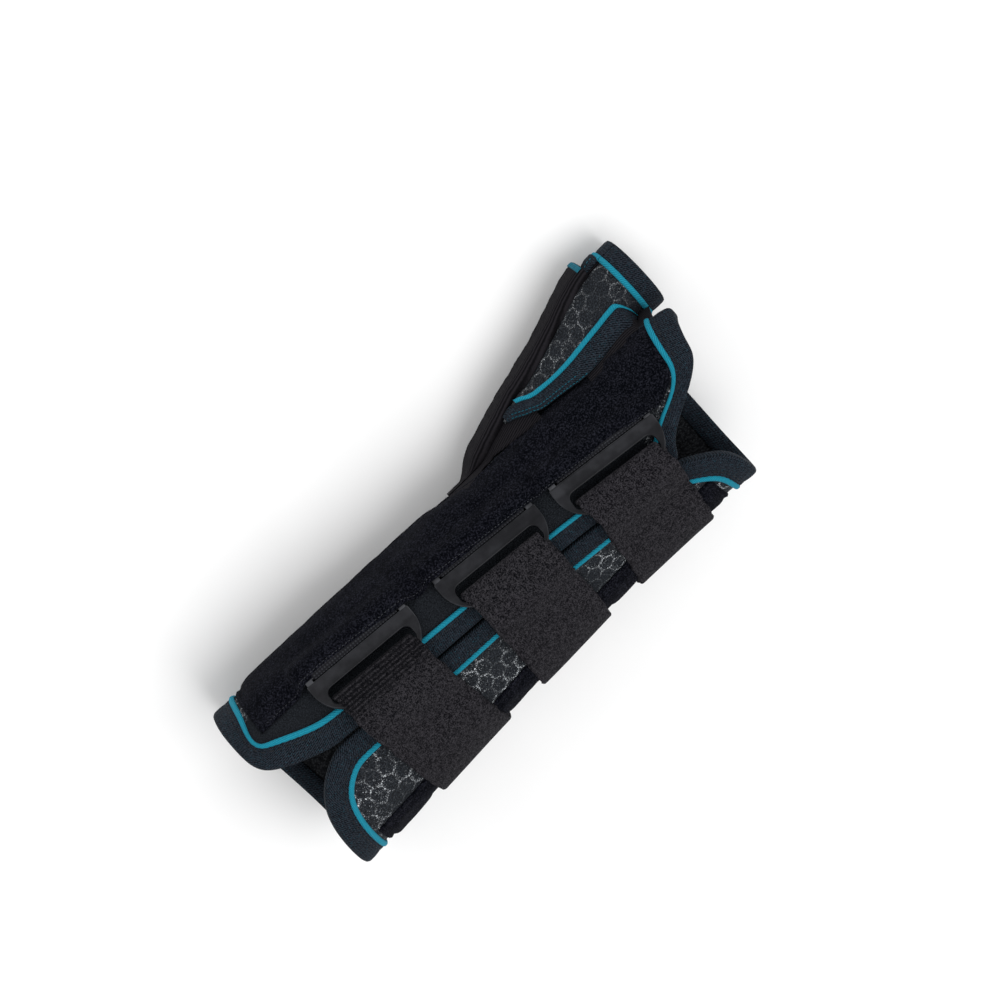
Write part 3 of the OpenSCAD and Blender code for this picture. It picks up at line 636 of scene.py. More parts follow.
def hide_net(piece):
    """The radial side shows the hexagon net only near the fingers."""
    piece.data.materials.append(PLAIN_MESH)
    cols, count = len(GIRTH), len(GIRTH) * len(ALONG)
    first = np.array([p.vertices[0] for p in piece.data.polygons]) % count
    g, u = GIRTH[first % cols], ALONG[first // cols]
    plain = (g < 70) & (mix(elbow_edge(g), hand_edge(g), u) < 74)
    piece.data.polygons.foreach_set("material_index", plain.astype(np.int32))


hide_net(wrap_layer("wrap_mesh_cover", -3.4, 0, HEXAGON, "hexagon_mesh", "outer_mesh", "foam_core"))
wrap_layer("wrap_lining", -4.3, -3.5, TERRY, "terry_lining", "inner_lining")

# ---- Edge of the wrap, as one path in flat coordinates: x, and millimetres round the girth ----

FLAT = 36 * math.pi / 180
BIND_WIDTH = 9.2
ULNAR_STAY_ANGLE = -128


def flat_path(x, g):
    return vec(x, wrap_angle(x, g) * FLAT)


def outline():
    """Edge of the wrap from the radial side of the thumb opening round to its palmar side."""
    near, far = CLOSURE_GAP, 360 - CLOSURE_GAP
    thumb_side, palm_side = np.linspace(85, near, 200), np.linspace(far, 151, 400)
    elbow = np.linspace(near, far, 700)
    path = np.concatenate([
        flat_path(hand_edge(thumb_side), thumb_side),
        flat_path(np.linspace(hand_edge(near), elbow_edge(near), 300), near),
        flat_path(elbow_edge(elbow), elbow),
        flat_path(np.linspace(elbow_edge(far), hand_edge(far), 300), far),
        flat_path(hand_edge(palm_side), palm_side)])
    return soften(resample(path, 1.0), 2.6)


def inward(path):
    d = unit(np.gradient(path, axis=0))
    return vec(d[:, 1], -d[:, 0])


def inset(path, width):
    """Path moved inwards by a width, bridged where it would double back on itself."""
    moved = path + inward(path) * width
    apart = np.linalg.norm(moved[:, None] - path[None], axis=-1).min(axis=1)
    good = np.flatnonzero(apart > width * 0.985)
    return soften(read_off(np.arange(len(path)), good, moved[good]), 4.0)


def narrowed(edge, inner):
    """Inner edge with the binding narrower over the back of the hand and at its elbow corner."""
    a = edge[:, 1] / FLAT
    share = 0.34 * bell((a - 32) / 17) * ramp((edge[:, 0] - 60) / 12) * (a < 180) \
        + 0.36 * bell((a - 54) / 15) * (edge[:, 0] < -90)
    return soften(mix(inner, edge, share[:, None]), 3.0)


EDGE = outline()
INNER = narrowed(EDGE, inset(EDGE, BIND_WIDTH))
EDGE_LENGTH = travelled(EDGE)


def edge_band(w, h):
    """Points w inwards from the wrap's edge and h over the skin, for a list of w and h."""
    flat = mix(EDGE[:, None], INNER[:, None], np.asarray(w, float)[:, None] / BIND_WIDTH)
    h = np.asarray(h, float)
    a = flat[..., 1] / FLAT
    over_stay = 0.6 * bell((a - 360 - ULNAR_STAY_ANGLE) / 7) * (flat[..., 0] < 0) * (h > 0.3)
    return skin(flat[..., 0], a, h - over_stay)


def edge_piece(kind, w, h, across, material, slot):
    """Section of w and h carried along the edge; across counts the millimetres round it."""
    piece = tube("edge_" + kind, edge_band(w, h), vec(EDGE_LENGTH[:, None], across), material)
    nodes = ("closure_{}_radial", "closure_{}_ulnar", "elbow_{}", "hand_{}_radial", "hand_{}_ulnar")
    return place(piece, "wrap", slot, *(node.format(kind) for node in nodes))


def half_round(width, height, base):
    """Section of piping: across and up, from one foot over the crown to the other."""
    q = np.linspace(0, np.pi, 9)
    across = np.concatenate([-np.cos(q) * width / 2, [width / 4, -width / 4]])
    up = np.concatenate([base + np.sin(q) ** 0.8 * height, [base - 0.1, base - 0.1]])
    return across, up


def edge_binding():
    """Tape folded round the edge of all layers, with a row of stitches."""
    w = np.array([9.0, 8.4, 7.4, 6.2, 4.6, 3.0, 1.4, 0.3, -0.5, -0.95, -1.0, -1.0, -0.7, 0, 2.0, 4.5, 7.0,
                  7.2, 4.5, 2.0, 0.1, -0.1, 0.1, 1.4, 4.6, 8.4, 9.0])
    h = np.array([0.5, 0.95, 1.0, 0.8, 1.05, 1.15, 1.1, 0.95, 0.4, -0.6, -2.2, -3.6, -4.9, -5.3, -5.4, -5.3,
                  -5.2, -4.5, -4.55, -4.6, -4.4, -2.2, 0.05, 0.15, 0.15, 0.1, 0.1])
    puckers = wave(EDGE_LENGTH, 3.3, 0.13)[:, None] * (h > 0.3)
    across = np.cumsum([0, *np.abs(np.diff(w))])
    edge_piece("binding", w, h + puckers, across, BINDING, "edge_binding")
    stitches("edge_binding_stitches", lambda up: edge_band([6.4], [0.95 + up])[:, 0], DARK_THREAD,
             "wrap", "edge_binding")


def edge_piping():
    across, up = half_round(PIPING_WIDTH, 1.35, 0.3)
    knit = wave(EDGE_LENGTH, 2.2, 0.05)[:, None]
    edge_piece("piping", across + BIND_WIDTH + 0.1, up + knit, travelled(vec(across, up)), PIPING,
               "teal_piping")


def opening_tape():
    """Rolled tape round the thumb opening, under the sleeve."""
    g = np.linspace(150.5, 86, 500)
    path = soften(resample(flat_path(hand_edge(g) - EDGE_INSET, g), 1.0), 1.5)
    w = np.array([1.6, 0.4, -1.0, -1.9, -2.3, -2.3, -1.9, -1.0, 0.4, 1.6])
    h = np.array([0.35, 0.5, 0.5, 0.2, -0.6, -3.8, -4.6, -5.0, -5.0, -4.8])
    flat = path[:, None] + inward(path)[:, None] * w[:, None]
    sections = skin(flat[..., 0], flat[..., 1] / FLAT, h)
    uv = vec(np.arange(len(path))[:, None], travelled(vec(w, h)))
    place(tube("thumb_opening_tape", sections, uv, BINDING), "wrap", "edge_binding")


edge_binding()
edge_piping()
opening_tape()

# ---- Buckles: places and frames ----

BUCKLE_X = (57.2, -0.5, -63.4)
STRAP_DRIFT = (0.043, 0.023, -0.038)
BUCKLE_HEIGHTS = ((2.4, 6.1), (1.9, 5.9), (1.9, 6.7))
BUCKLE_SPAN, BUCKLE_LENGTH, BUCKLE_DEPTH, BUCKLE_THICKNESS = 34, 50.5, 19, 2.4
PIN_Y, PIN_Z, PIN_RADIUS = -2.2, 1.2, 1.1
STRAP_WIDTH = 39
RANDOM = np.random.default_rng(7)


def panel_angle(x):
    return np.minimum(55, 45.3 - 0.125 * x)


def buckle_frame(k):
    """Origin in the middle of the back edge, then the directions along the bar, forwards and outwards."""
    x, r, (low, high) = BUCKLE_X[k], BUCKLE_LENGTH / 2, BUCKLE_HEIGHTS[k]
    back = plain_skin(x, panel_angle(x), low)
    bar = unit(plain_skin(x - r, panel_angle(x - r), low) - plain_skin(x + r, panel_angle(x + r), low))
    forward = plain_skin(x, panel_angle(x) - BUCKLE_SPAN, high) - back
    y = unit(forward - bar * np.dot(forward, bar))
    return back, bar, y, np.cross(bar, y)


FRAMES = [buckle_frame(k) for k in range(3)]


def from_frame(axes, p):
    origin, *directions = axes
    return origin + np.asarray(p, float) @ np.array(directions)


# ---- Loop panels ----

def near_buckles(x):
    """1 beside a buckle and 0 between two of them."""
    return sum(ramp((30 - np.abs(x - buckle_x)) / 5) for buckle_x in BUCKLE_X)


def pile(d, full):
    """Height of quilted cloth at distance d from its edge, pulled in along a seam."""
    edge = (0.62 + 0.38 * ramp(d / 0.9)) * (1 - 0.3 * bell((d - SEAM_INSET) / 0.8))
    return full * edge + 0.9 * ramp((d - SEAM_INSET) / 7) - 0.25


def panel_grid(near, far, start, end):
    """x and a for a panel from angle near(x) to far(x), and from start(v) to end(v) along the wrap."""
    v = stations(40, 1.6)[None, :]
    x = mix(start(v), end(v), stations(220, 1.6)[:, None])
    return x, mix(near(x), far(x), v)


def puff(piece, free, limit):
    """Lets the free part of a sewn cloth's outer face fill out as simulated cloth, by at most a limit."""
    scene = bpy.context.scene
    count, frames = free.size, 20
    group = piece.vertex_groups.new(name="held")
    held = np.flatnonzero(np.concatenate([~free.ravel(), np.ones(count, bool)]))
    group.add([int(i) for i in held], 1.0, "REPLACE")
    cloth = piece.modifiers.new("cloth", "CLOTH")
    cloth.settings.effector_weights.gravity = 0
    for key, value in (("quality", 5), ("mass", 0.15), ("use_pressure", True),
                       ("uniform_pressure_force", 4.0), ("vertex_group_mass", "held"),
                       ("shrink_min", -0.025)):
        setattr(cloth.settings, key, value)
    scene.frame_start, scene.frame_end = 1, frames
    for frame_number in range(1, frames + 1):
        scene.frame_set(frame_number)
    shaped = piece.evaluated_get(bpy.context.evaluated_depsgraph_get()).to_mesh()
    before = np.array([v.co for v in piece.data.vertices][:count])
    after = np.array([v.co for v in shaped.vertices][:count])
    normals = np.array([v.normal for v in piece.data.vertices][:count])
    piece.modifiers.remove(cloth)
    piece.vertex_groups.remove(group)
    scene.frame_set(1)
    rise = np.sum((after - before) * normals, axis=1).reshape(free.shape) / MM
    rise = soften(soften(np.clip(rise, -limit, limit), 0.8).T, 0.8).T * free
    moved = before + normals * (rise.ravel() * MM)[:, None]
    for vertex, spot in zip(piece.data.vertices, moved):
        vertex.co = spot
    piece.data.update()
    return piece


def radial_panel():
    """Plush panel with the buckles' loops under its dorsal edge."""
    def near(x):
        return panel_angle(x) + 0.9 + 1.1 * near_buckles(x)

    def far(x):
        return mix(128, 85.5, ramp((x + 30) / 50))

    def at_piping(v):
        hand = INNER[(INNER[:, 0] > 60) & (INNER[:, 1] < 90 * FLAT)]
        hand = hand[np.argsort(hand[:, 1])]
        edge = np.interp(mix(near(94), far(94), v), hand[:, 1] / FLAT, hand[:, 0])
        return edge - mix(4.5, 1.3, ramp(v / 0.3))

    x, a = panel_grid(near, far, lambda v: 11.7 - ELBOW_LENGTH, at_piping)
    d = edge_distance(skin(x, a, 0))
    behind = (a - near(x)) * 0.62
    over_pins = near_buckles(x) * (1 - ramp((behind - 4.2) / 8)) * (0.86 + 0.14 * ramp(behind / 1.5))
    high = pile(d, 1.7) + 4.7 * over_pins
    piece = slab("radial_plush_panel", skin(x, a, high), skin(x, a, 0.05 + 3.9 * over_pins),
                 vec(x, a * WRAP_DEGREE), PLUSH)
    puff(piece, (d > 3.2) & (over_pins < 0.01), PANEL_SWELL)
    place(piece, "wrap", "brushed_loop", "radial_loop_panel")
    line = (slice(6, -6), np.argmin(np.abs(behind[60] - 1.5)))
    stitches("radial_panel_stitches", lambda up: skin(x[line], a[line], high[line] + up), GREY_THREAD,
             "wrap", "brushed_loop", length=1.1, gap=0.5, radius=0.13)


def ulnar_panel():
    """Loop panel on the little-finger side, under the straps' ends."""
    x, a = panel_grid(lambda x: -50, lambda x: -112,
                      lambda v: 16.2 - ELBOW_LENGTH - v, lambda v: mix(82, 87, v))
    d = edge_distance(skin(x, a, 0))
    high = np.minimum(pile(d, 1.6), 1.75)
    piece = slab("ulnar_plush_panel", skin(x, a, high), skin(x, a, 0.05), vec(x, a * WRAP_DEGREE), PLUSH)
    under_straps = sum(bell((x - buckle_x) / 21) > 0.36 for buckle_x in BUCKLE_X) > 0
    puff(piece, (d > 3.2) & ~under_straps, PANEL_SWELL)
    place(piece, "wrap", "brushed_loop", "ulnar_loop_panel")


radial_panel()
ulnar_panel()

# ---- Palmar and ulnar stay pockets; the stays themselves stay as the CAD has them ----

def section_loop(half, low, high, corner, count=5):
    """Rounded rectangle as across and up, for a sleeve or pocket."""
    sx, sz = np.repeat([1, -1, -1, 1], count), np.repeat([1, 1, -1, -1], count)
    q = (np.arange(4)[:, None] * 90 + np.linspace(0, 90, count)).ravel()
    return (sx * (half - corner) + corner * cosd(q),
            mix(low, high, 0.5) + sz * ((high - low) / 2 - corner) + corner * sind(q))


def pocket_mesh(name, outer, inner, material, length):
    """Pocket of an outer and an inner skin, closed at their first rings and joined at their last."""
    cols = outer.shape[1]
    outer_count, inner_count = len(outer) * cols, len(inner) * cols
    ends = np.arange(cols)
    last_out, last_in = outer_count - cols + ends, outer_count + inner_count - cols + ends
    rim = np.stack([last_out, np.roll(last_out, -1), np.roll(last_in, -1), last_in], axis=1).tolist()
    faces = ring_faces(len(outer), cols) + ring_faces(len(inner), cols, outer_count)
    faces += [ends.tolist(), (outer_count + ends).tolist()] + rim
    uv = [vec(np.linspace(0, length, len(part))[:, None], np.linspace(0, 40, cols)).reshape(-1, 2)
          for part in (outer, inner)]
    points = np.concatenate([outer.reshape(-1, 3), inner.reshape(-1, 3)])
    return mesh_object(name, points, faces, np.concatenate(uv), material)


def palmar_pocket():
    """Flat sewn pocket under the palm, open at its hand end, with a seam along each side."""
    x = np.concatenate([[-112, -111.4, -110.2], np.linspace(-108, 81, 96), [83, 83.8, 84]])[:, None]
    centre = 1.9
    swell = 0.55 + 0.45 * ramp(np.minimum(x + 112, 84 - x) / 2.2)
    across, up = section_loop(17, 0, 3.8, 1.5)
    outer = vec(x, across, palm_lift(x) + centre + (up - centre) * swell)
    across, up = section_loop(11.4, 0.8, 3.0, 0.4)
    inner = vec(x, across, palm_lift(x) + up)[x[:, 0] > -108]
    piece = pocket_mesh("palmar_pocket", outer, inner, POCKET, 196)
    place(piece, "wrap", "pocket_cloth", "palmar_stay_pocket")
    line = np.linspace(-110, 82, 200)
    for side, y in (("radial", 14.6), ("ulnar", -14.6)):
        stitches("palmar_seam_" + side, lambda down: vec(line, y, palm_lift(line) + 0.05 - down),
                 GREY_THREAD, "wrap", "pocket_cloth", length=2.0, gap=0.8, radius=0.2)


def ulnar_pocket():
    """Soft sleeve round the straight ulnar stay, open at its elbow end."""
    stay_width, stay_thickness, cloth = 8, 1.2, 0.6
    height = stay_thickness + 2 * cloth + 0.2
    start, end = (plain_skin(x, ULNAR_STAY_ANGLE, 0.3) for x in (-108, 28))
    out = plain_skin(-30, ULNAR_STAY_ANGLE, 1) - plain_skin(-30, ULNAR_STAY_ANGLE, 0)
    length = np.linalg.norm(end - start)
    along = unit(end - start)
    y = unit(np.cross(out, along))
    axes = (start, along, y, np.cross(along, y))
    near_end = np.array([0, 0.3, 0.9])
    t = np.concatenate([length - near_end, np.linspace(length - 2, 2, 60), near_end[::-1]])[:, None]
    swell = 0.6 + 0.4 * ramp(np.minimum(t, length - t) / 1.6)
    across, up = section_loop((stay_width + 3.4) / 2, 0, height, 1.1)
    centre = height / 2
    up = centre + (up - centre) * swell + 0.12 * np.sin(t / 2.9) * (up > centre)
    outer = from_frame(axes, vec(t, across, up))
    across, up = section_loop(stay_width / 2 + 0.2, cloth - 0.02, height - cloth + 0.02, 0.2)
    inner = from_frame(axes, vec(t, across, up))[t[:, 0] < length - 2]
    piece = pocket_mesh("ulnar_pocket", outer, inner, POCKET, length)
    place(piece, "wrap", "pocket_cloth", "ulnar_stay_pocket")


palmar_pocket()
ulnar_pocket()

# ---- Thumb sleeve ----

# x along the splint, then the centre's y and z and the radius there
THUMB_ROWS = np.array([
    [4, 11.5, 22, 20], [20, 18.8, 21.4, 20], [40, 26.3, 20.4, 19], [60, 32.7, 19.6, 18],
    [76, 39, 19, 16.7], [90, 44.9, 18.3, 15.3], [101, 48.6, 17.7, 14.5], [120.6, 49.2, 17.4, 14.5]])
TIP, RING_START, RING_REACH = 119.6, 112, 168
HINGE_ANGLE, FLAP_START, FLAP_FULL = 20, 47, 58
CLOTH_LOW, CLOTH_TOP = 0.1, 1.3
SLEEVE_LOW_END = 27


def thumb_row(x):
    """Centre y and z and the radius of the sleeve at x, on a smooth curve through the rows."""
    rows, last = THUMB_ROWS, len(THUMB_ROWS) - 1
    x = np.clip(x, rows[0, 0], rows[-1, 0])
    i = np.clip(np.searchsorted(rows[:, 0], x, side="right") - 1, 0, last - 1)
    low, high = np.maximum(np.arange(last + 1) - 1, 0), np.minimum(np.arange(last + 1) + 1, last)
    slopes = (rows[high] - rows[low]) / (rows[high, :1] - rows[low, :1])
    w = (rows[i + 1, 0] - rows[i, 0])[..., None]
    t = (x - rows[i, 0])[..., None] / w
    made = (rows[i] * (1 + 2 * t) * (1 - t) ** 2 + slopes[i] * w * t * (1 - t) ** 2
            + rows[i + 1] * t * t * (3 - 2 * t) + slopes[i + 1] * w * t * t * (t - 1))
    return made[..., 1], made[..., 2], made[..., 3]


def thumb(x, b):
    """Point on the sleeve, whose round section runs out in flat sides towards the wrap."""
    x, b = np.broadcast_arrays(np.asarray(x, float), np.asarray(b, float))
    dorsal = 46 + 18 * ramp((x - 70) / 32) + 116 * ramp((x - 101) / 11)
    palmar = 108 + 25 * ramp((x - 60) / 40) + 47 * ramp((x - 101) / 11)
    y, z, radius = thumb_row(x)
    r = radius / cosd(np.clip(np.abs(b) - np.where(b > 0, dorsal, palmar), 0, 80))
    return vec(x, y + r * cosd(b), z + r * sind(b))


def thumb_point(x, b, h):
    """Point at height h over the thumb's soft unevenness, at x along it and angle b round it."""
    t = np.radians(b)
    uneven = 0.22 * np.sin(x / 6.5 + 2 * t) + 0.16 * np.sin(5 * t - x / 9) + 0.1 * np.sin(x / 3.1 - 4 * t)
    return raised(thumb, x, b, h + ramp((RING_START - x) / 12) * uneven, way=-1)


def reach(x, side, gap):
    """Largest angle on a side that is still a gap outside the wrap and beside the palm pocket."""
    b = np.arange(0, RING_REACH + 0.1, 0.25)
    made = []
    for one in np.atleast_1d(x):
        p = thumb(one, side * b)
        blocked = np.flatnonzero((outside(p) <= gap) | (p[:, 1] <= 19))
        made.append(b[blocked[0] - 1] if len(blocked) else RING_REACH)
    return np.array(made)


def sewn_angle(x, side, near_wrist):
    """Angle to which the sleeve is sewn down, held at a fixed angle where it starts at the wrist."""
    return mix(near_wrist, reach(np.maximum(x, SLEEVE_LOW_END), side, 0.35), ramp((x - 4) / 24))


def flap_edge(x):
    sewn = reach(np.maximum(x, FLAP_START + 3), 1, 3)
    return mix(HINGE_ANGLE + 3, sewn, ramp((x - FLAP_START + 10.5) / (FLAP_FULL - FLAP_START + 6)))


def flap_lift(x):
    """The flap's first part lies on the cloth that joins the sleeve to the wrap."""
    return 1.3 * (1 - ramp((x - 50) / 6))


def thumb_x(start, end, step=1.5):
    return mix(start, end, stations(end - start, step))


def over_wrap(p, gap):
    """Points pushed out so that they lie at least a gap over the wrap, with a soft change between."""
    soft = 0.5
    lack = np.clip((gap - outside(p)) / soft, -30, 60)
    push = np.where(lack > 20, lack, np.log1p(np.exp(np.minimum(lack, 20)))) * soft
    return p + unit(p - middle(p[..., 0])) * push[..., None]


def thumb_grid(x, low_angle, high_angle, width):
    """Grid of x and angle between two angles at each x, its distance from the border, and its UVs."""
    b = mix(low_angle[:, None], high_angle[:, None], stations(width, 1.5))
    grid, b = np.broadcast_arrays(x[:, None], b)
    return grid, b, edge_distance(thumb(grid, b)), vec(grid, b * 0.3)


def sewn_top(d, low, high, seam=0.25):
    """Top of a cloth that is thinner at its border and pulled in along a seam."""
    return high - (high - low) * 0.4 * (1 - ramp(d)) - seam * bell((d - SEAM_INSET) / 0.9)


def sheet_on_wrap(name, node, x, low_angle, high_angle, low, high):
    """Thumb cloth that runs out over the wrap, so that its borders lie on the wrap's surface."""
    grid, b, d, uv = thumb_grid(x, low_angle, high_angle, 60)
    upper = over_wrap(thumb_point(grid, b, sewn_top(d, low, high)), 1.1)
    upper[..., 2] = np.maximum(upper[..., 2], 0.1)
    lower = over_wrap(thumb_point(grid, b, low), 0.05)
    piece = slab(name, upper, lower, uv, TUBE_KNIT)
    place(puff(piece, (d > 6) & (upper[..., 2] > 1.5), 0.6), "wrap", "stretch_cloth", node)


def thumb_gutter():
    x = thumb_x(6, RING_START + 1)
    sheet_on_wrap("thumb_gutter_cloth", "thumb_gutter", x, -sewn_angle(x, -1, 40),
                  np.minimum(HINGE_ANGLE - 1.2, sewn_angle(x, 1, HINGE_ANGLE)), CLOTH_LOW, CLOTH_TOP)


def thumb_lining():
    x = thumb_x(28, RING_START + 4)
    high_angle = np.minimum(HINGE_ANGLE - 2.5, reach(x, 1, 1.4))
    grid, b, d, uv = thumb_grid(x, -reach(x, -1, 1.4), high_angle, 69)
    upper = thumb_point(grid, b, sewn_top(d, -1.2, -0.1, seam=0))
    place(slab("thumb_lining_cloth", upper, thumb_point(grid, b, -1.2), uv, TERRY),
          "wrap", "terry_lining", "thumb_lining")


def thumb_gusset():
    x = thumb_x(3, FLAP_START + 4)
    sheet_on_wrap("thumb_gusset_cloth", "thumb_gusset", x, np.full(len(x), HINGE_ANGLE - 6),
                  sewn_angle(x, 1, 44), 0, CLOTH_TOP - 0.2)


def thumb_flap():
    x = thumb_x(FLAP_START - 8, RING_START + 1)
    grid, b, d, uv = thumb_grid(x, np.full(len(x), HINGE_ANGLE + 0.8), flap_edge(x), 39)
    low = CLOTH_LOW + flap_lift(grid)
    upper = thumb_point(grid, b, low + sewn_top(d, CLOTH_LOW, CLOTH_TOP) - CLOTH_LOW)
    piece = slab("thumb_flap_cloth", upper, thumb_point(grid, b, low), uv, FLAP_HEXAGON)
    place(puff(piece, d > 8, 0.7), "thumb_flap", "hexagon_mesh", "thumb_flap")


thumb_gutter()
thumb_lining()
thumb_gusset()
thumb_flap()


def flap_angle(x, w):
    """Angle at a width w in from the flap's free edge."""
    return flap_edge(x) - w / thumb_row(x)[2] * 180 / math.pi * 0.8


def flap_band(name, x, w, h, material, node, slot):
    """Section of across and up, carried along the flap's free edge."""
    b = np.maximum(np.stack([flap_angle(x, one) for one in w], axis=1), HINGE_ANGLE + 0.8)
    x = x[:, None]
    uv = vec(travelled(thumb(x[:, 0], b[:, 0]))[:, None], travelled(vec(w, h)))
    piece = tube(name, thumb_point(x, b, np.asarray(h) + flap_lift(x)), uv, material)
    place(piece, "thumb_flap", slot, node)


def flap_edge_pieces():
    """Binding and piping along the flap's free edge, and the hook pad under it."""
    x = np.linspace(FLAP_START - 7, RING_START + 0.5, 68)
    flap_band("thumb_flap_edge_binding", x,
              [6.6, 5.6, 3.4, 1.2, -0.3, -0.9, -0.9, -0.3, 2, 5, 5, 2, 0, 0, 3, 6.6],
              [1.7, 2.1, 2.2, 2.1, 1.7, 1.0, 0.2, -0.5, -0.8, -0.8, -0.1, -0.1, 0.1, 1.2, 1.35, 1.35],
              BINDING, "thumb_flap_binding", "edge_binding")
    across, up = half_round(PIPING_WIDTH, 1.2, CLOTH_TOP + 0.15)
    flap_band("thumb_flap_edge_piping", x[flap_angle(x, 8.9) > HINGE_ANGLE + 0.8], across + 7.6, up,
              PIPING, "thumb_flap_piping", "teal_piping")
    flap_band("thumb_flap_hook_pad", np.linspace(FLAP_FULL + 4, 100, 30), [8, 7.6, 2, 1.6, 1.6, 2, 7.6, 8],
              [-0.2, 0, 0, -0.2, -0.7, -0.9, -0.9, -0.7], HOOKS, "thumb_flap_hook", "strap_hook")


def flap_seam(name, start, end, w, h):
    """Teal stitches along the flap's free edge."""
    x = np.linspace(start, end, 60)
    stitches(name, lambda up: thumb_point(x, flap_angle(x, w), h + up + flap_lift(x)), TEAL_THREAD,
             "thumb_flap", "teal_piping", length=1.3, gap=0.25, radius=0.17)


def tip_sweep(name, x, h, start, end, material, node, body, slot):
    """Section of x and height, carried round the thumb between two angles."""
    b = np.linspace(start, end, max(8, int(abs(end - start) / 3)))[:, None]
    pucker = 0.1 * np.sin(np.radians(b) * 26) * (h > 1)
    piece = tube(name, thumb_point(x, b, h + pucker), vec(b * 0.26, travelled(vec(x, h))), material)
    place(piece, body, slot, node)


def tip_edge():
    """Binding and piping round the sleeve's opening, the flap's part apart from the rest."""
    x = np.array([112.2, 113, 115.5, 118, TIP - 0.4, TIP, TIP, TIP - 0.4, 118, 114, 112.2, 112.2, 114, 118,
                  TIP - 0.9, TIP - 0.9, 118, 112.2])
    h = np.array([1.6, 2.0, 2.1, 2.1, 1.8, 1.1, -1.2, -1.8, -2.0, -2.0, -1.9, -1.3, -1.3, -1.3,
                  -0.9, 0.9, 1.2, 1.2])
    across, up = half_round(PIPING_WIDTH, 1.25, CLOTH_TOP + 0.1)
    for prefix, nodes, body, start, end in (
            ("thumb_tip_edge_", "thumb_tip_", "wrap", -RING_REACH, HINGE_ANGLE - 1),
            ("flap_tip_edge_", "thumb_flap_tip_", "thumb_flap", HINGE_ANGLE + 0.4, RING_REACH)):
        tip_sweep(prefix + "binding", x, h, start, end, BINDING, nodes + "binding", body, "edge_binding")
        tip_sweep(prefix + "piping", across + RING_START - 0.8, up, start, end, PIPING, nodes + "piping",
                  body, "teal_piping")


flap_edge_pieces()
tip_edge()


def web_strip():
    """Strip of cloth between the thumb and the first finger."""
    a = mix(100, 140, stations(30, 2)[:, None])
    x = 107 - 14 * ramp((a - 90) / 50) + mix(-4.8, 4.8, stations(10, 2)[None, :])
    piece = strip("thumb_web_cloth", skin(x, a, -1.6), 2.2, vec(x, a * WRAP_DEGREE), BINDING)
    place(piece, "wrap", "stretch_cloth", "thumb_web_strip")


web_strip()

COVER_END, COVER_HALF, COVER_CORNER = 103.4, 7.4, 4.4


def cover_angle(x, share):
    """Angle at a share from -1 to 1 across the stay's cover."""
    return np.degrees(np.arcsin(COVER_HALF * share / (thumb_row(x)[2] + 3)))


def cover_height(x, b):
    """Height of the stay's soft cover over the thumb sleeve, flat above the stay and round at its sides."""
    r = thumb_row(x)[2]
    side = np.clip((COVER_HALF - np.abs((r + 3) * sind(b))) / COVER_CORNER, 0, 1)
    crown = np.sqrt(1 - (1 - side) ** 2.2)
    full = mix(1.4, 5.3, ramp((x - 6) / 17)) - 0.35 * (1 - ramp((COVER_END - x) / 1.2))
    creases = 0.1 * np.sin(x / 2.3 + 1.2 * np.sin(x / 9)) + 0.07 * np.sin(x / 1.1 + b / 9)
    return mix(CLOTH_TOP - 0.3, (r + full) / cosd(b) - r + creases, crown)


def stay_cover():
    """Fuzzy cover along the outer side of the thumb, over the stay's sleeve."""
    x = thumb_x(3, COVER_END, 1.1)[:, None]
    x, b = np.broadcast_arrays(x, cover_angle(x, mix(-1, 1, stations(20, 0.7))))
    upper = over_wrap(thumb_point(x, b, cover_height(x, b)), 1.5)
    outwards = unit(upper - over_wrap(thumb_point(x, b, 0), 0))
    upper = upper + outwards * RANDOM.normal(0, 0.05, x.shape)[..., None]
    lower = over_wrap(thumb_point(x, b, 0.3), 0.3)
    place(slab("thumb_stay_cover", upper, lower, vec(x, b * THUMB_DEGREE), TUBE_KNIT),
          "wrap", "stretch_cloth", "thumb_stay_pocket")


def bartack():
    """Dense teal stitching across the mouth of the cover."""
    x = (100.6 + 2.5 * stations(2.5, 0.3, edge=(0.1, 0.3, 0.6)))[:, None]
    b = cover_angle(x, mix(-0.94, 0.78, stations(18, 0.35)))
    surface = thumb_point(x, b, cover_height(x, b) + 0.15 + wave(b, 2.6, 0.14))
    uv = vec(x, b * THUMB_DEGREE)
    place(strip("thumb_bartack_stitches", surface, 0.7, uv, TEAL_THREAD, round_edge=0.5),
          "wrap", "teal_piping", "thumb_bartack")


def mouth_tape():
    """Short folded tape from the mouth of the cover to the tip piping."""
    x = mix(102.6, 110.6, stations(8, 0.8))[:, None]
    b = mix(-23, 17, stations(13, 0.8))[None, :]
    crown = np.sqrt(np.clip(1 - ((b + 3) / 20.1) ** 2, 0, 1)) * mix(0.5, 1.6, ramp((x - 103.5) / 4)) - 0.1
    uv = vec(x, b * THUMB_DEGREE)
    place(strip("thumb_mouth_tape", thumb_point(x, b, CLOTH_TOP + crown), 1.0, uv, BINDING, round_edge=0.5),
          "wrap", "edge_binding")
    line = np.linspace(104.4, 109.6, 30)
    height = CLOTH_TOP + 0.4 + mix(0.5, 1.5, ramp((line - 103.5) / 4))
    stitches("thumb_tape_stitches", lambda up: thumb_point(line, 8, height + up), TEAL_THREAD,
             "wrap", "teal_piping", length=1.2, gap=0.25, radius=0.2)


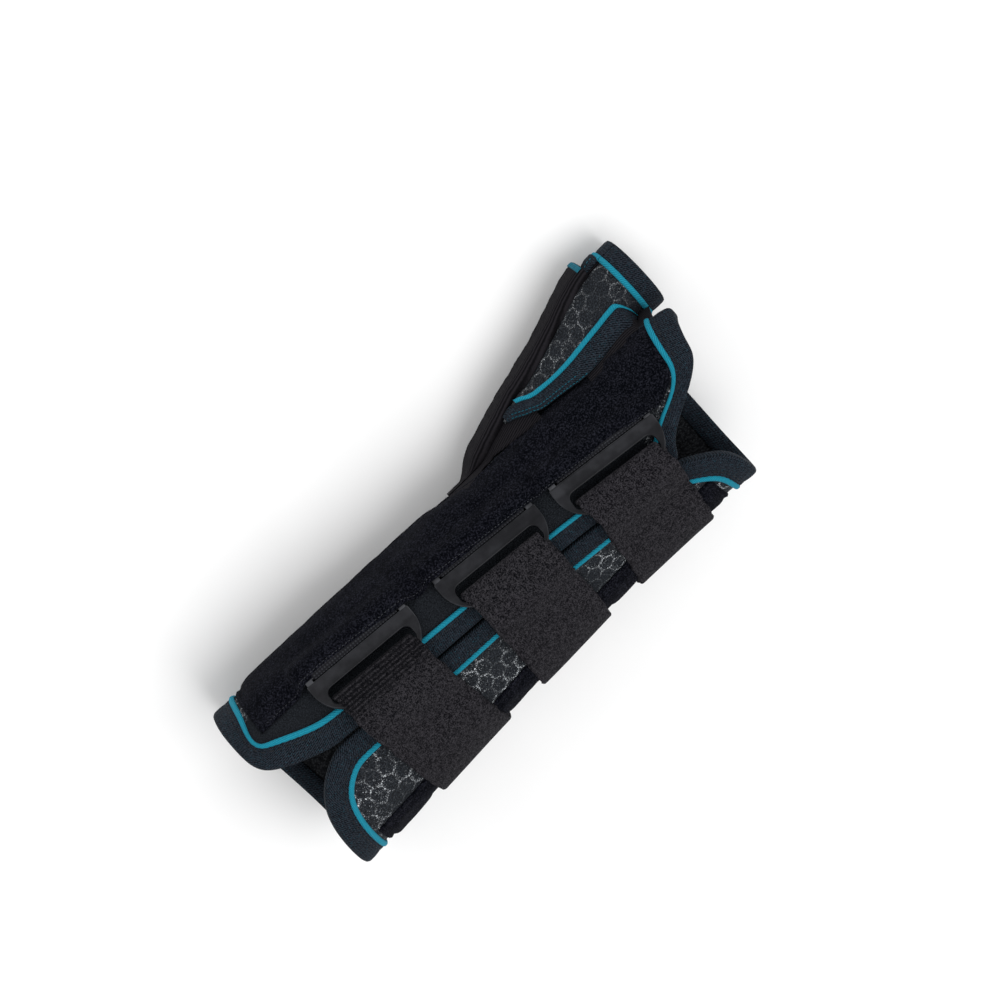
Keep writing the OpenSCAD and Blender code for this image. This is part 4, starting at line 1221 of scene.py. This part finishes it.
def web_fill():
    """Cloth between the flap's underside and the plush panel, down to the web of the thumb, in the darkest
    knit, which is partly the cloth there and partly painted shade under the flap.
    """
    t = stations(34, 1.3)[:, None]
    v = stations(16, 1.2)
    x = mix(76, 114.5, t)
    on_thumb = thumb_point(x, flap_edge(x[:, 0])[:, None] - 24, -1.9 - 0.9 * ramp((x - 107) / 5))
    on_hand = skin(mix(74, 108.6, t), mix(74, 84, ramp(t / 0.9)), mix(0.9, -0.4, t))
    surface = mix(on_thumb, on_hand, v[:, None]) + vec(0, 0, -1.6 * np.sin(v * np.pi))
    # The dark knit of this fill is partly painted shade under the flap.
    place(strip("thumb_web_fill", surface, 1.4, vec(t * 34, v * 16), TUBE_KNIT), "wrap", "stretch_cloth")


stay_cover()
bartack()
mouth_tape()
flap_seam("flap_outer_stitches", 42, 76, -0.75, 1.35)
flap_seam("flap_inner_stitches", 43, 72, 0.9, 2.1)
web_fill()

# ---- Buckles ----

def rounded_outline(points):
    """Closed outline through corners given as x, y, radius."""
    made = []
    for i, (x, y, r) in enumerate(points):
        corner = np.array([x, y])
        before = unit(np.array(points[i - 1][:2]) - corner)
        after = unit(np.array(points[(i + 1) % len(points)][:2]) - corner)
        half = math.acos(float(np.clip(before @ after, -1, 1))) / 2
        centre = corner + unit(before + after) * r / math.sin(half)
        first = corner + before * r / math.tan(half) - centre
        last = corner + after * r / math.tan(half) - centre
        count = 4 if r < 1 else 7 if r < 5 else 16
        made += [centre + unit(mix(first, last, t)) * r for t in np.linspace(0, 1, count)]
    return made


def buckle_plate(name):
    """Points and faces of the flat plate with its slot and soft moulded edges, lying on z = 0."""
    bevel, half, depth = 0.5, BUCKLE_LENGTH / 2, BUCKLE_DEPTH
    curve = bpy.data.curves.new(name, "CURVE")
    curve.dimensions, curve.fill_mode = "2D", "BOTH"
    curve.extrude = BUCKLE_THICKNESS / 2 - bevel
    curve.bevel_depth, curve.bevel_resolution, curve.offset = bevel, 3, -bevel
    for corners in ([(-half, 0, 0.8), (half, 0, 0.8), (half, depth, 15), (-half, depth, 15)],
                    [(-20.6, 6, 3), (20.6, 6, 3), (20.6, 13.2, 2.2), (-20.6, 13.2, 2.2)]):
        loop = rounded_outline(corners)
        spline = curve.splines.new("POLY")
        spline.points.add(len(loop) - 1)
        for point, (x, y) in zip(spline.points, loop):
            point.co = (x, y, 0, 1)
        spline.use_cyclic_u = True
    shaped = link(name, curve)
    bpy.context.view_layer.update()
    mesh = bpy.data.meshes.new_from_object(shaped)
    points = np.array([v.co for v in mesh.vertices]) + [0, 0, BUCKLE_THICKNESS / 2]
    faces = [list(p.vertices) for p in mesh.polygons]
    bpy.data.objects.remove(shaped)
    return points, faces


def buckle(k):
    """Plate, and a back bar that carries the pin on two lugs."""
    points, faces = buckle_plate(f"plate_{k + 1}")
    end = BUCKLE_LENGTH / 2 - 0.6
    q = np.arange(16) * 22.5
    x = np.array([-end, 0.5 - end, end - 0.5, end])[:, None]
    radius = PIN_RADIUS * np.array([0.6, 1, 1, 0.6])[:, None]
    solids = [vec(x, PIN_Y + radius * cosd(q), PIN_Z + radius * sind(q))]
    across, up = section_loop(1.9, 0.05, BUCKLE_THICKNESS - 0.05, 0.5, 4)
    x = end - np.array([0, 0.3, 2.7, 3])[:, None]
    size = np.array([0.9, 1, 1, 0.9])[:, None]
    solids += [vec(side * x, -1.45 + across * size * 1.05, PIN_Z + (up - PIN_Z) * size) for side in (-1, 1)]
    for solid in solids:
        faces += capped_rings(*solid.shape[:2], len(points))
        points = np.concatenate([points, solid.reshape(-1, 3)])
    name = f"buckle_{k + 1}"
    piece = mesh_object(name + "_plate", from_frame(FRAMES[k], points), faces, points[:, :2], PLASTIC)
    piece.data.set_sharp_from_angle(angle=math.radians(35))
    place(piece, name, "buckle_plastic", name)


def buckle_loop(k):
    """Webbing folded round the pin, with its two legs sewn down behind it."""
    inner, outer, half = PIN_RADIUS + 0.1, PIN_RADIUS + 0.95, BUCKLE_LENGTH / 2 - 4.6
    q = np.linspace(-155, 155, 22)
    y = np.concatenate([[-6.5], outer * cosd(q), [-6.5, -6.5], inner * cosd(q[::-1]), [-6.5]])
    z = np.concatenate([[-1.0], outer * sind(q), [0.7, 0.0], inner * sind(q[::-1]), [-0.2]])
    x = mix(-half, half, stations(2 * half, 1.6))[:, None]
    sections = from_frame(FRAMES[k], vec(x, PIN_Y + y, PIN_Z + z))
    piece = tube(f"buckle_{k + 1}_webbing", sections, vec(x, travelled(vec(y, z))), WEBBING)
    place(piece, "wrap", "webbing", f"buckle_loop_{k + 1}")


for k in range(3):
    buckle(k)
    buckle_loop(k)

# ---- Straps: base from the ulnar side, turn round the front bar, tail back over the base ----

ANCHOR, TAIL_END = -114, -98
BASE_LOW, PANEL_RISE, HOOK_ROOM = 1.3, 0.2, 0.45
TAIL_LOW = BASE_LOW + PANEL_RISE + 1.3
TURN_Y = 12.25
TURN_RADIUS = math.hypot(0.9, BUCKLE_THICKNESS / 2) + 0.12 + 0.75


def start_angle(k):
    return panel_angle(BUCKLE_X[k]) - BUCKLE_SPAN - 5.3


def strap_place(k, angles, v):
    """x and angle on the wrap for angles along the strap and v across it."""
    start, a = start_angle(k), angles[:, None]
    skew = -0.125 * ramp((a + 60) / (start + 60))
    return BUCKLE_X[k] + STRAP_DRIFT[k] * (a - start) + v, a + skew * v


def strap_middle(k, v):
    """Middle surface of the whole strap, in rows across it."""
    start = start_angle(k)
    a = np.linspace(ANCHOR, start + 13, 64)
    height = BASE_LOW + 0.8 + PANEL_RISE * ramp((-20 - a) / 20)
    base = skin(*strap_place(k, a, v), height[:, None])
    q = np.linspace(-100, -262, 13)[:, None]
    turn = from_frame(FRAMES[k], vec(-v, TURN_Y + TURN_RADIUS * cosd(q), PIN_Z + TURN_RADIUS * sind(q)))
    a = np.linspace(start, TAIL_END, 60)
    front = BUCKLE_HEIGHTS[k][1] + PIN_Z + TURN_RADIUS
    height = mix(TAIL_LOW, front, ramp((a - start + 34) / 34)) + HOOK_ROOM * ramp((-60 - a) / 12) + 0.55
    tail = skin(*strap_place(k, a, v), height[:, None])
    rows = np.concatenate([base, turn, tail])
    s = travelled(rows[:, len(v) // 2])
    even = read_off(stations(s[-1], 0.9) * s[-1], s, rows.reshape(len(rows), -1))
    return soften(even, 0.8).reshape(len(even), *rows.shape[1:])


def strap(k):
    """One strap with frayed edges, cut where it starts to follow the buckle."""
    v = mix(-STRAP_WIDTH / 2, STRAP_WIDTH / 2, stations(STRAP_WIDTH, 2.2))
    rows, centre = strap_middle(k, v), len(v) // 2
    forward = (rows[:, centre] - FRAMES[k][0]) @ FRAMES[k][2]
    turn = int(np.argmin(np.where(np.arange(len(rows)) > 10, forward, 99)))
    cut = turn - 3
    s = travelled(rows[:, centre])
    uv = vec(s[:, None], v)
    distance = np.minimum(edge_distance(rows), 9)
    sway = np.convolve(RANDOM.normal(0, 0.22, len(s) + 4), np.ones(5) / 2.2, "valid")
    fray = RANDOM.normal(0, 0.12, rows.shape[:2]) * bell(distance / 0.8)
    sideways = sway[:, None] * np.abs(v / v[-1]) ** 3 + fray
    rows = rows + unit(np.gradient(rows, axis=1)) * sideways[..., None]
    top, bottom = two_faces(rows, 1.5, distance, 0.9, 0.2)
    name, buckle_name = f"strap_{k + 1}", f"buckle_{k + 1}"
    cloth = STRAP if k < 2 else strap_cloth("ribbed_strap_cloth", float(s[turn]))
    in_buckle = [from_frame(FRAMES[k], p) for p in ([0, BUCKLE_DEPTH - 1.5, 5], [0, BUCKLE_DEPTH + 6, 3])]
    for part, share, nodes, bodies, ends in (
            ("_under", slice(cut + 1), ("_base",), ("wrap", buckle_name), rows[[cut - 9, cut - 1], centre]),
            ("_over", slice(cut, None), ("_fold", "_tail"), (buckle_name, name), in_buckle)):
        piece = slab(name + part, top[share], bottom[share], uv[share], cloth)
        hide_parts(*(name + node for node in nodes))
        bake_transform(piece)


def hook_pad(k):
    """Hook pad under the end of the tail."""
    width = STRAP_WIDTH - 3
    v = mix(-width / 2, width / 2, stations(width, 2.0))
    x, a = strap_place(k, mix(-75, TAIL_END + 1, stations(14, 1.5)), v)
    name = f"strap_{k + 1}"
    piece = strip(name + "_hook_pad", skin(x, a, TAIL_LOW + 0.1), 0.5, vec(x, a * 0.6), HOOKS, round_edge=0.4)
    place(piece, name, "strap_hook", name + "_hook")


for k in range(3):
    strap(k)
    hook_pad(k)

# ---- The stays keep their CAD shape ----

for node in ("palmar_stay", "ulnar_stay", "thumb_stay"):
    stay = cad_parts[node]
    stay.data.materials.clear()
    stay.data.materials.append(METAL)


# ---- Floor, light and camera, in metres ----

TARGET = np.array([0, 0, 0.033])
TILT, ROLL = 20, 44
ALONG_X = np.array([1, 0, 0])
toward = np.array([0, sind(TILT), cosd(TILT)])
level = np.cross(toward, ALONG_X)
right = ALONG_X * cosd(ROLL) - level * sind(ROLL)
upward = ALONG_X * sind(ROLL) + level * cosd(ROLL)


def aim(obj, x, z, distance):
    """Puts an object at a distance from the target along z, with x to its right, looking back."""
    axes = Matrix(np.stack([x, np.cross(z, x), z], axis=1).tolist())
    obj.rotation_mode = "QUATERNION"
    obj.rotation_quaternion = axes.to_quaternion()
    obj.location = TARGET + z * distance


def add_camera():
    data = bpy.data.cameras.new("camera")
    data.lens, data.sensor_width = 103.5, 36
    data.shift_x, data.shift_y = -0.0104, 0.0708
    camera = link("camera", data)
    aim(camera, right, toward, 1.15)
    bpy.context.scene.camera = camera


def add_light(name, direction, distance, size, power):
    data = bpy.data.lights.new(name, "AREA")
    data.shape, data.size, data.energy = "DISK", size, power
    z = unit(direction)
    aim(link(name, data), unit(np.cross([0.3, 1, 0.1], z)), z, distance)


def add_floor():
    mesh = bpy.data.meshes.new("floor")
    mesh.from_pydata([(-4, -4, 0), (4, -4, 0), (4, 4, 0), (-4, 4, 0)], [], [(0, 1, 2, 3)])
    mesh.materials.append(floor_paint())
    link("floor", mesh)


def add_world():
    world = bpy.data.worlds.new("studio")
    world.use_nodes = True
    background = world.node_tree.nodes["Background"].inputs
    background[0].default_value = (1, 1, 1, 1)
    background[1].default_value = 0.7
    bpy.context.scene.world = world
    bpy.context.scene.view_settings.view_transform = "Standard"


add_floor()
add_light("key", right * 0.55 - upward * 0.5 + toward, 1.1, 0.9, 7)
add_light("fill", -right * 0.9 + upward * 0.5 + toward, 1.3, 1.1, 4)
add_light("rim", upward * 1.2 + right * 0.4 + toward * 0.35, 1.2, 0.7, 2.5)
add_world()
add_camera()
